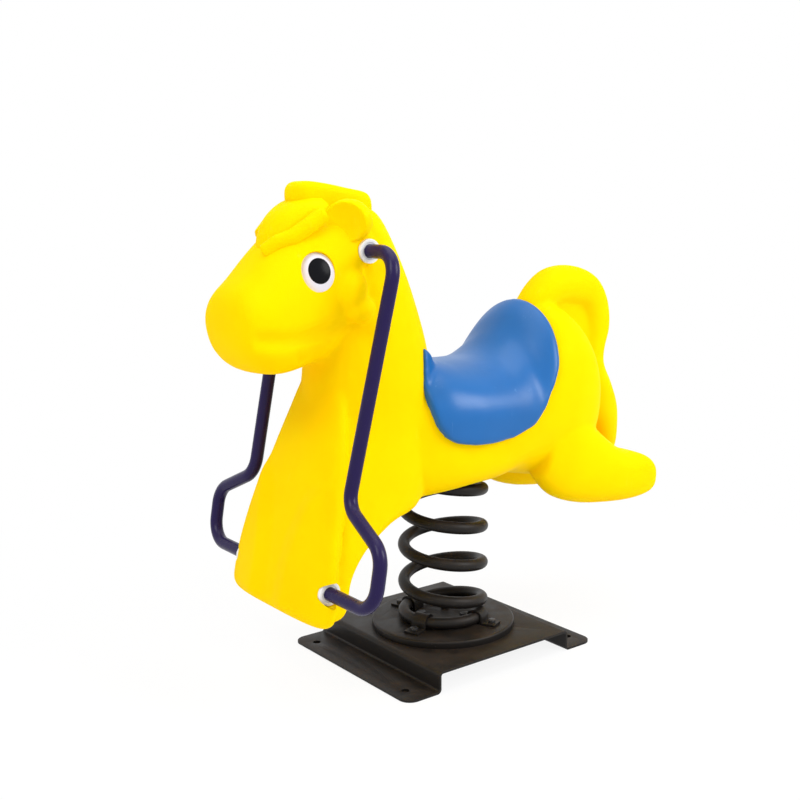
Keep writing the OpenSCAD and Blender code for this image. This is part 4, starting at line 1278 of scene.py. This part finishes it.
def floor_finish():
    """A pale floor that reads as white and keeps the object's shadow, with painted shade under the anchor
    holes.
    """
    material, tree, shader = material_tree("studio floor")
    where = add(tree, "ShaderNodeTexCoord", (-1300, -700)).outputs["Object"]
    folded = add(tree, "ShaderNodeVectorMath", (-1100, 300), operation="ABSOLUTE")
    tree.links.new(where, folded.inputs[0])
    hole = add(tree, "ShaderNodeVectorMath", (-900, 300), operation="DISTANCE")
    tree.links.new(folded.outputs["Vector"], hole.inputs[0])
    hole.inputs[1].default_value = (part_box("base_plate")[1][0] - ANCHOR_INSET, ANCHOR_Y, 0)
    # Painted shade: a near-black disc on the floor under each anchor hole, which gets no glow
    clear = compute(tree, "GREATER_THAN", hole.outputs["Value"], ANCHOR_SHADE_REACH, (-700, 300))
    tree.links.new(mix(tree, clear, HOLE_SHADE_COLOUR, FLOOR_COLOUR, (-400, 300)), shader.inputs["Base Color"])
    set_inputs(shader, Roughness=0.9, Specular_IOR_Level=0.1)
    glow = add(tree, "ShaderNodeEmission", (0, -500))
    blend = add(tree, "ShaderNodeMixShader", (400, 0))
    spread = add(tree, "ShaderNodeVectorMath", (-900, -700), operation="LENGTH")
    tree.links.new(where, spread.inputs[0])
    far = band(tree, spread.outputs["Value"], (-700, -700), *FLOOR_GLOW_RUN)
    glowing = compute(tree, "MULTIPLY_ADD", far, 1 - FLOOR_GLOW, (-500, -700), FLOOR_GLOW)
    seen = compute(tree, "MULTIPLY", seen_straight(tree, (-900, -300)), clear, (-300, -300))
    share = compute(tree, "MULTIPLY", seen, glowing, (-100, -300))
    tree.links.new(share, blend.inputs[0])
    tree.links.new(shader.outputs[0], blend.inputs[1])
    tree.links.new(glow.outputs[0], blend.inputs[2])
    tree.links.new(blend.outputs[0], tree.nodes["Material Output"].inputs["Surface"])
    return material


def studio_world():
    """White behind the object, and a plain even fill on it."""
    world = bpy.data.worlds.new("studio")
    world.use_nodes = True
    tree = world.node_tree
    light = tree.nodes["Background"]
    light.inputs["Color"].default_value = (1, 1, 1, 1)
    level = compute(tree, "MULTIPLY_ADD", seen_straight(tree, (-900, 0)), 1 - FILL, (-200, 0), FILL)
    tree.links.new(level, light.inputs["Strength"])
    return world


class RIDER_PT_panel(bpy.types.Panel):
    """Lists the steps, sizes and colours in the sidebar."""
    bl_label = "Spring rider"
    bl_idname = "RIDER_PT_panel"
    bl_space_type = "VIEW_3D"
    bl_region_type = "UI"
    bl_category = "Spring rider"

    def draw(self, context):
        for step in STEPS:
            self.layout.operator(step.bl_idname)
        for group, kind in ((sizes(), RiderSizes), (colours(), RiderColours)):
            box = self.layout.box()
            for name in kind.__annotations__:
                box.prop(group, name)


STEPS = (RIDER_OT_stage, RIDER_OT_pony, RIDER_OT_saddle, RIDER_OT_bars, RIDER_OT_collars, RIDER_OT_eyes,
         RIDER_OT_spring, RIDER_OT_base, RIDER_OT_clips, RIDER_OT_hidden)
CLASSES = (RiderSizes, RiderColours, *STEPS, RIDER_PT_panel)


def register():
    for kind in CLASSES:
        bpy.utils.register_class(kind)
    bpy.types.Scene.rider_sizes = PointerProperty(type=RiderSizes)
    bpy.types.Scene.rider_colours = PointerProperty(type=RiderColours)


def unregister():
    del bpy.types.Scene.rider_colours
    del bpy.types.Scene.rider_sizes
    for kind in reversed(CLASSES):
        bpy.utils.unregister_class(kind)


def main():
    register()
    bpy.ops.rider.stage()
    bpy.ops.rider.pony()
    bpy.ops.rider.saddle()
    bpy.ops.rider.bars()
    bpy.ops.rider.collars()
    bpy.ops.rider.eyes()
    bpy.ops.rider.spring()
    bpy.ops.rider.base()
    bpy.ops.rider.clips()
    bpy.ops.rider.hidden()
    put_down()


if __name__ == "__main__":
    main()
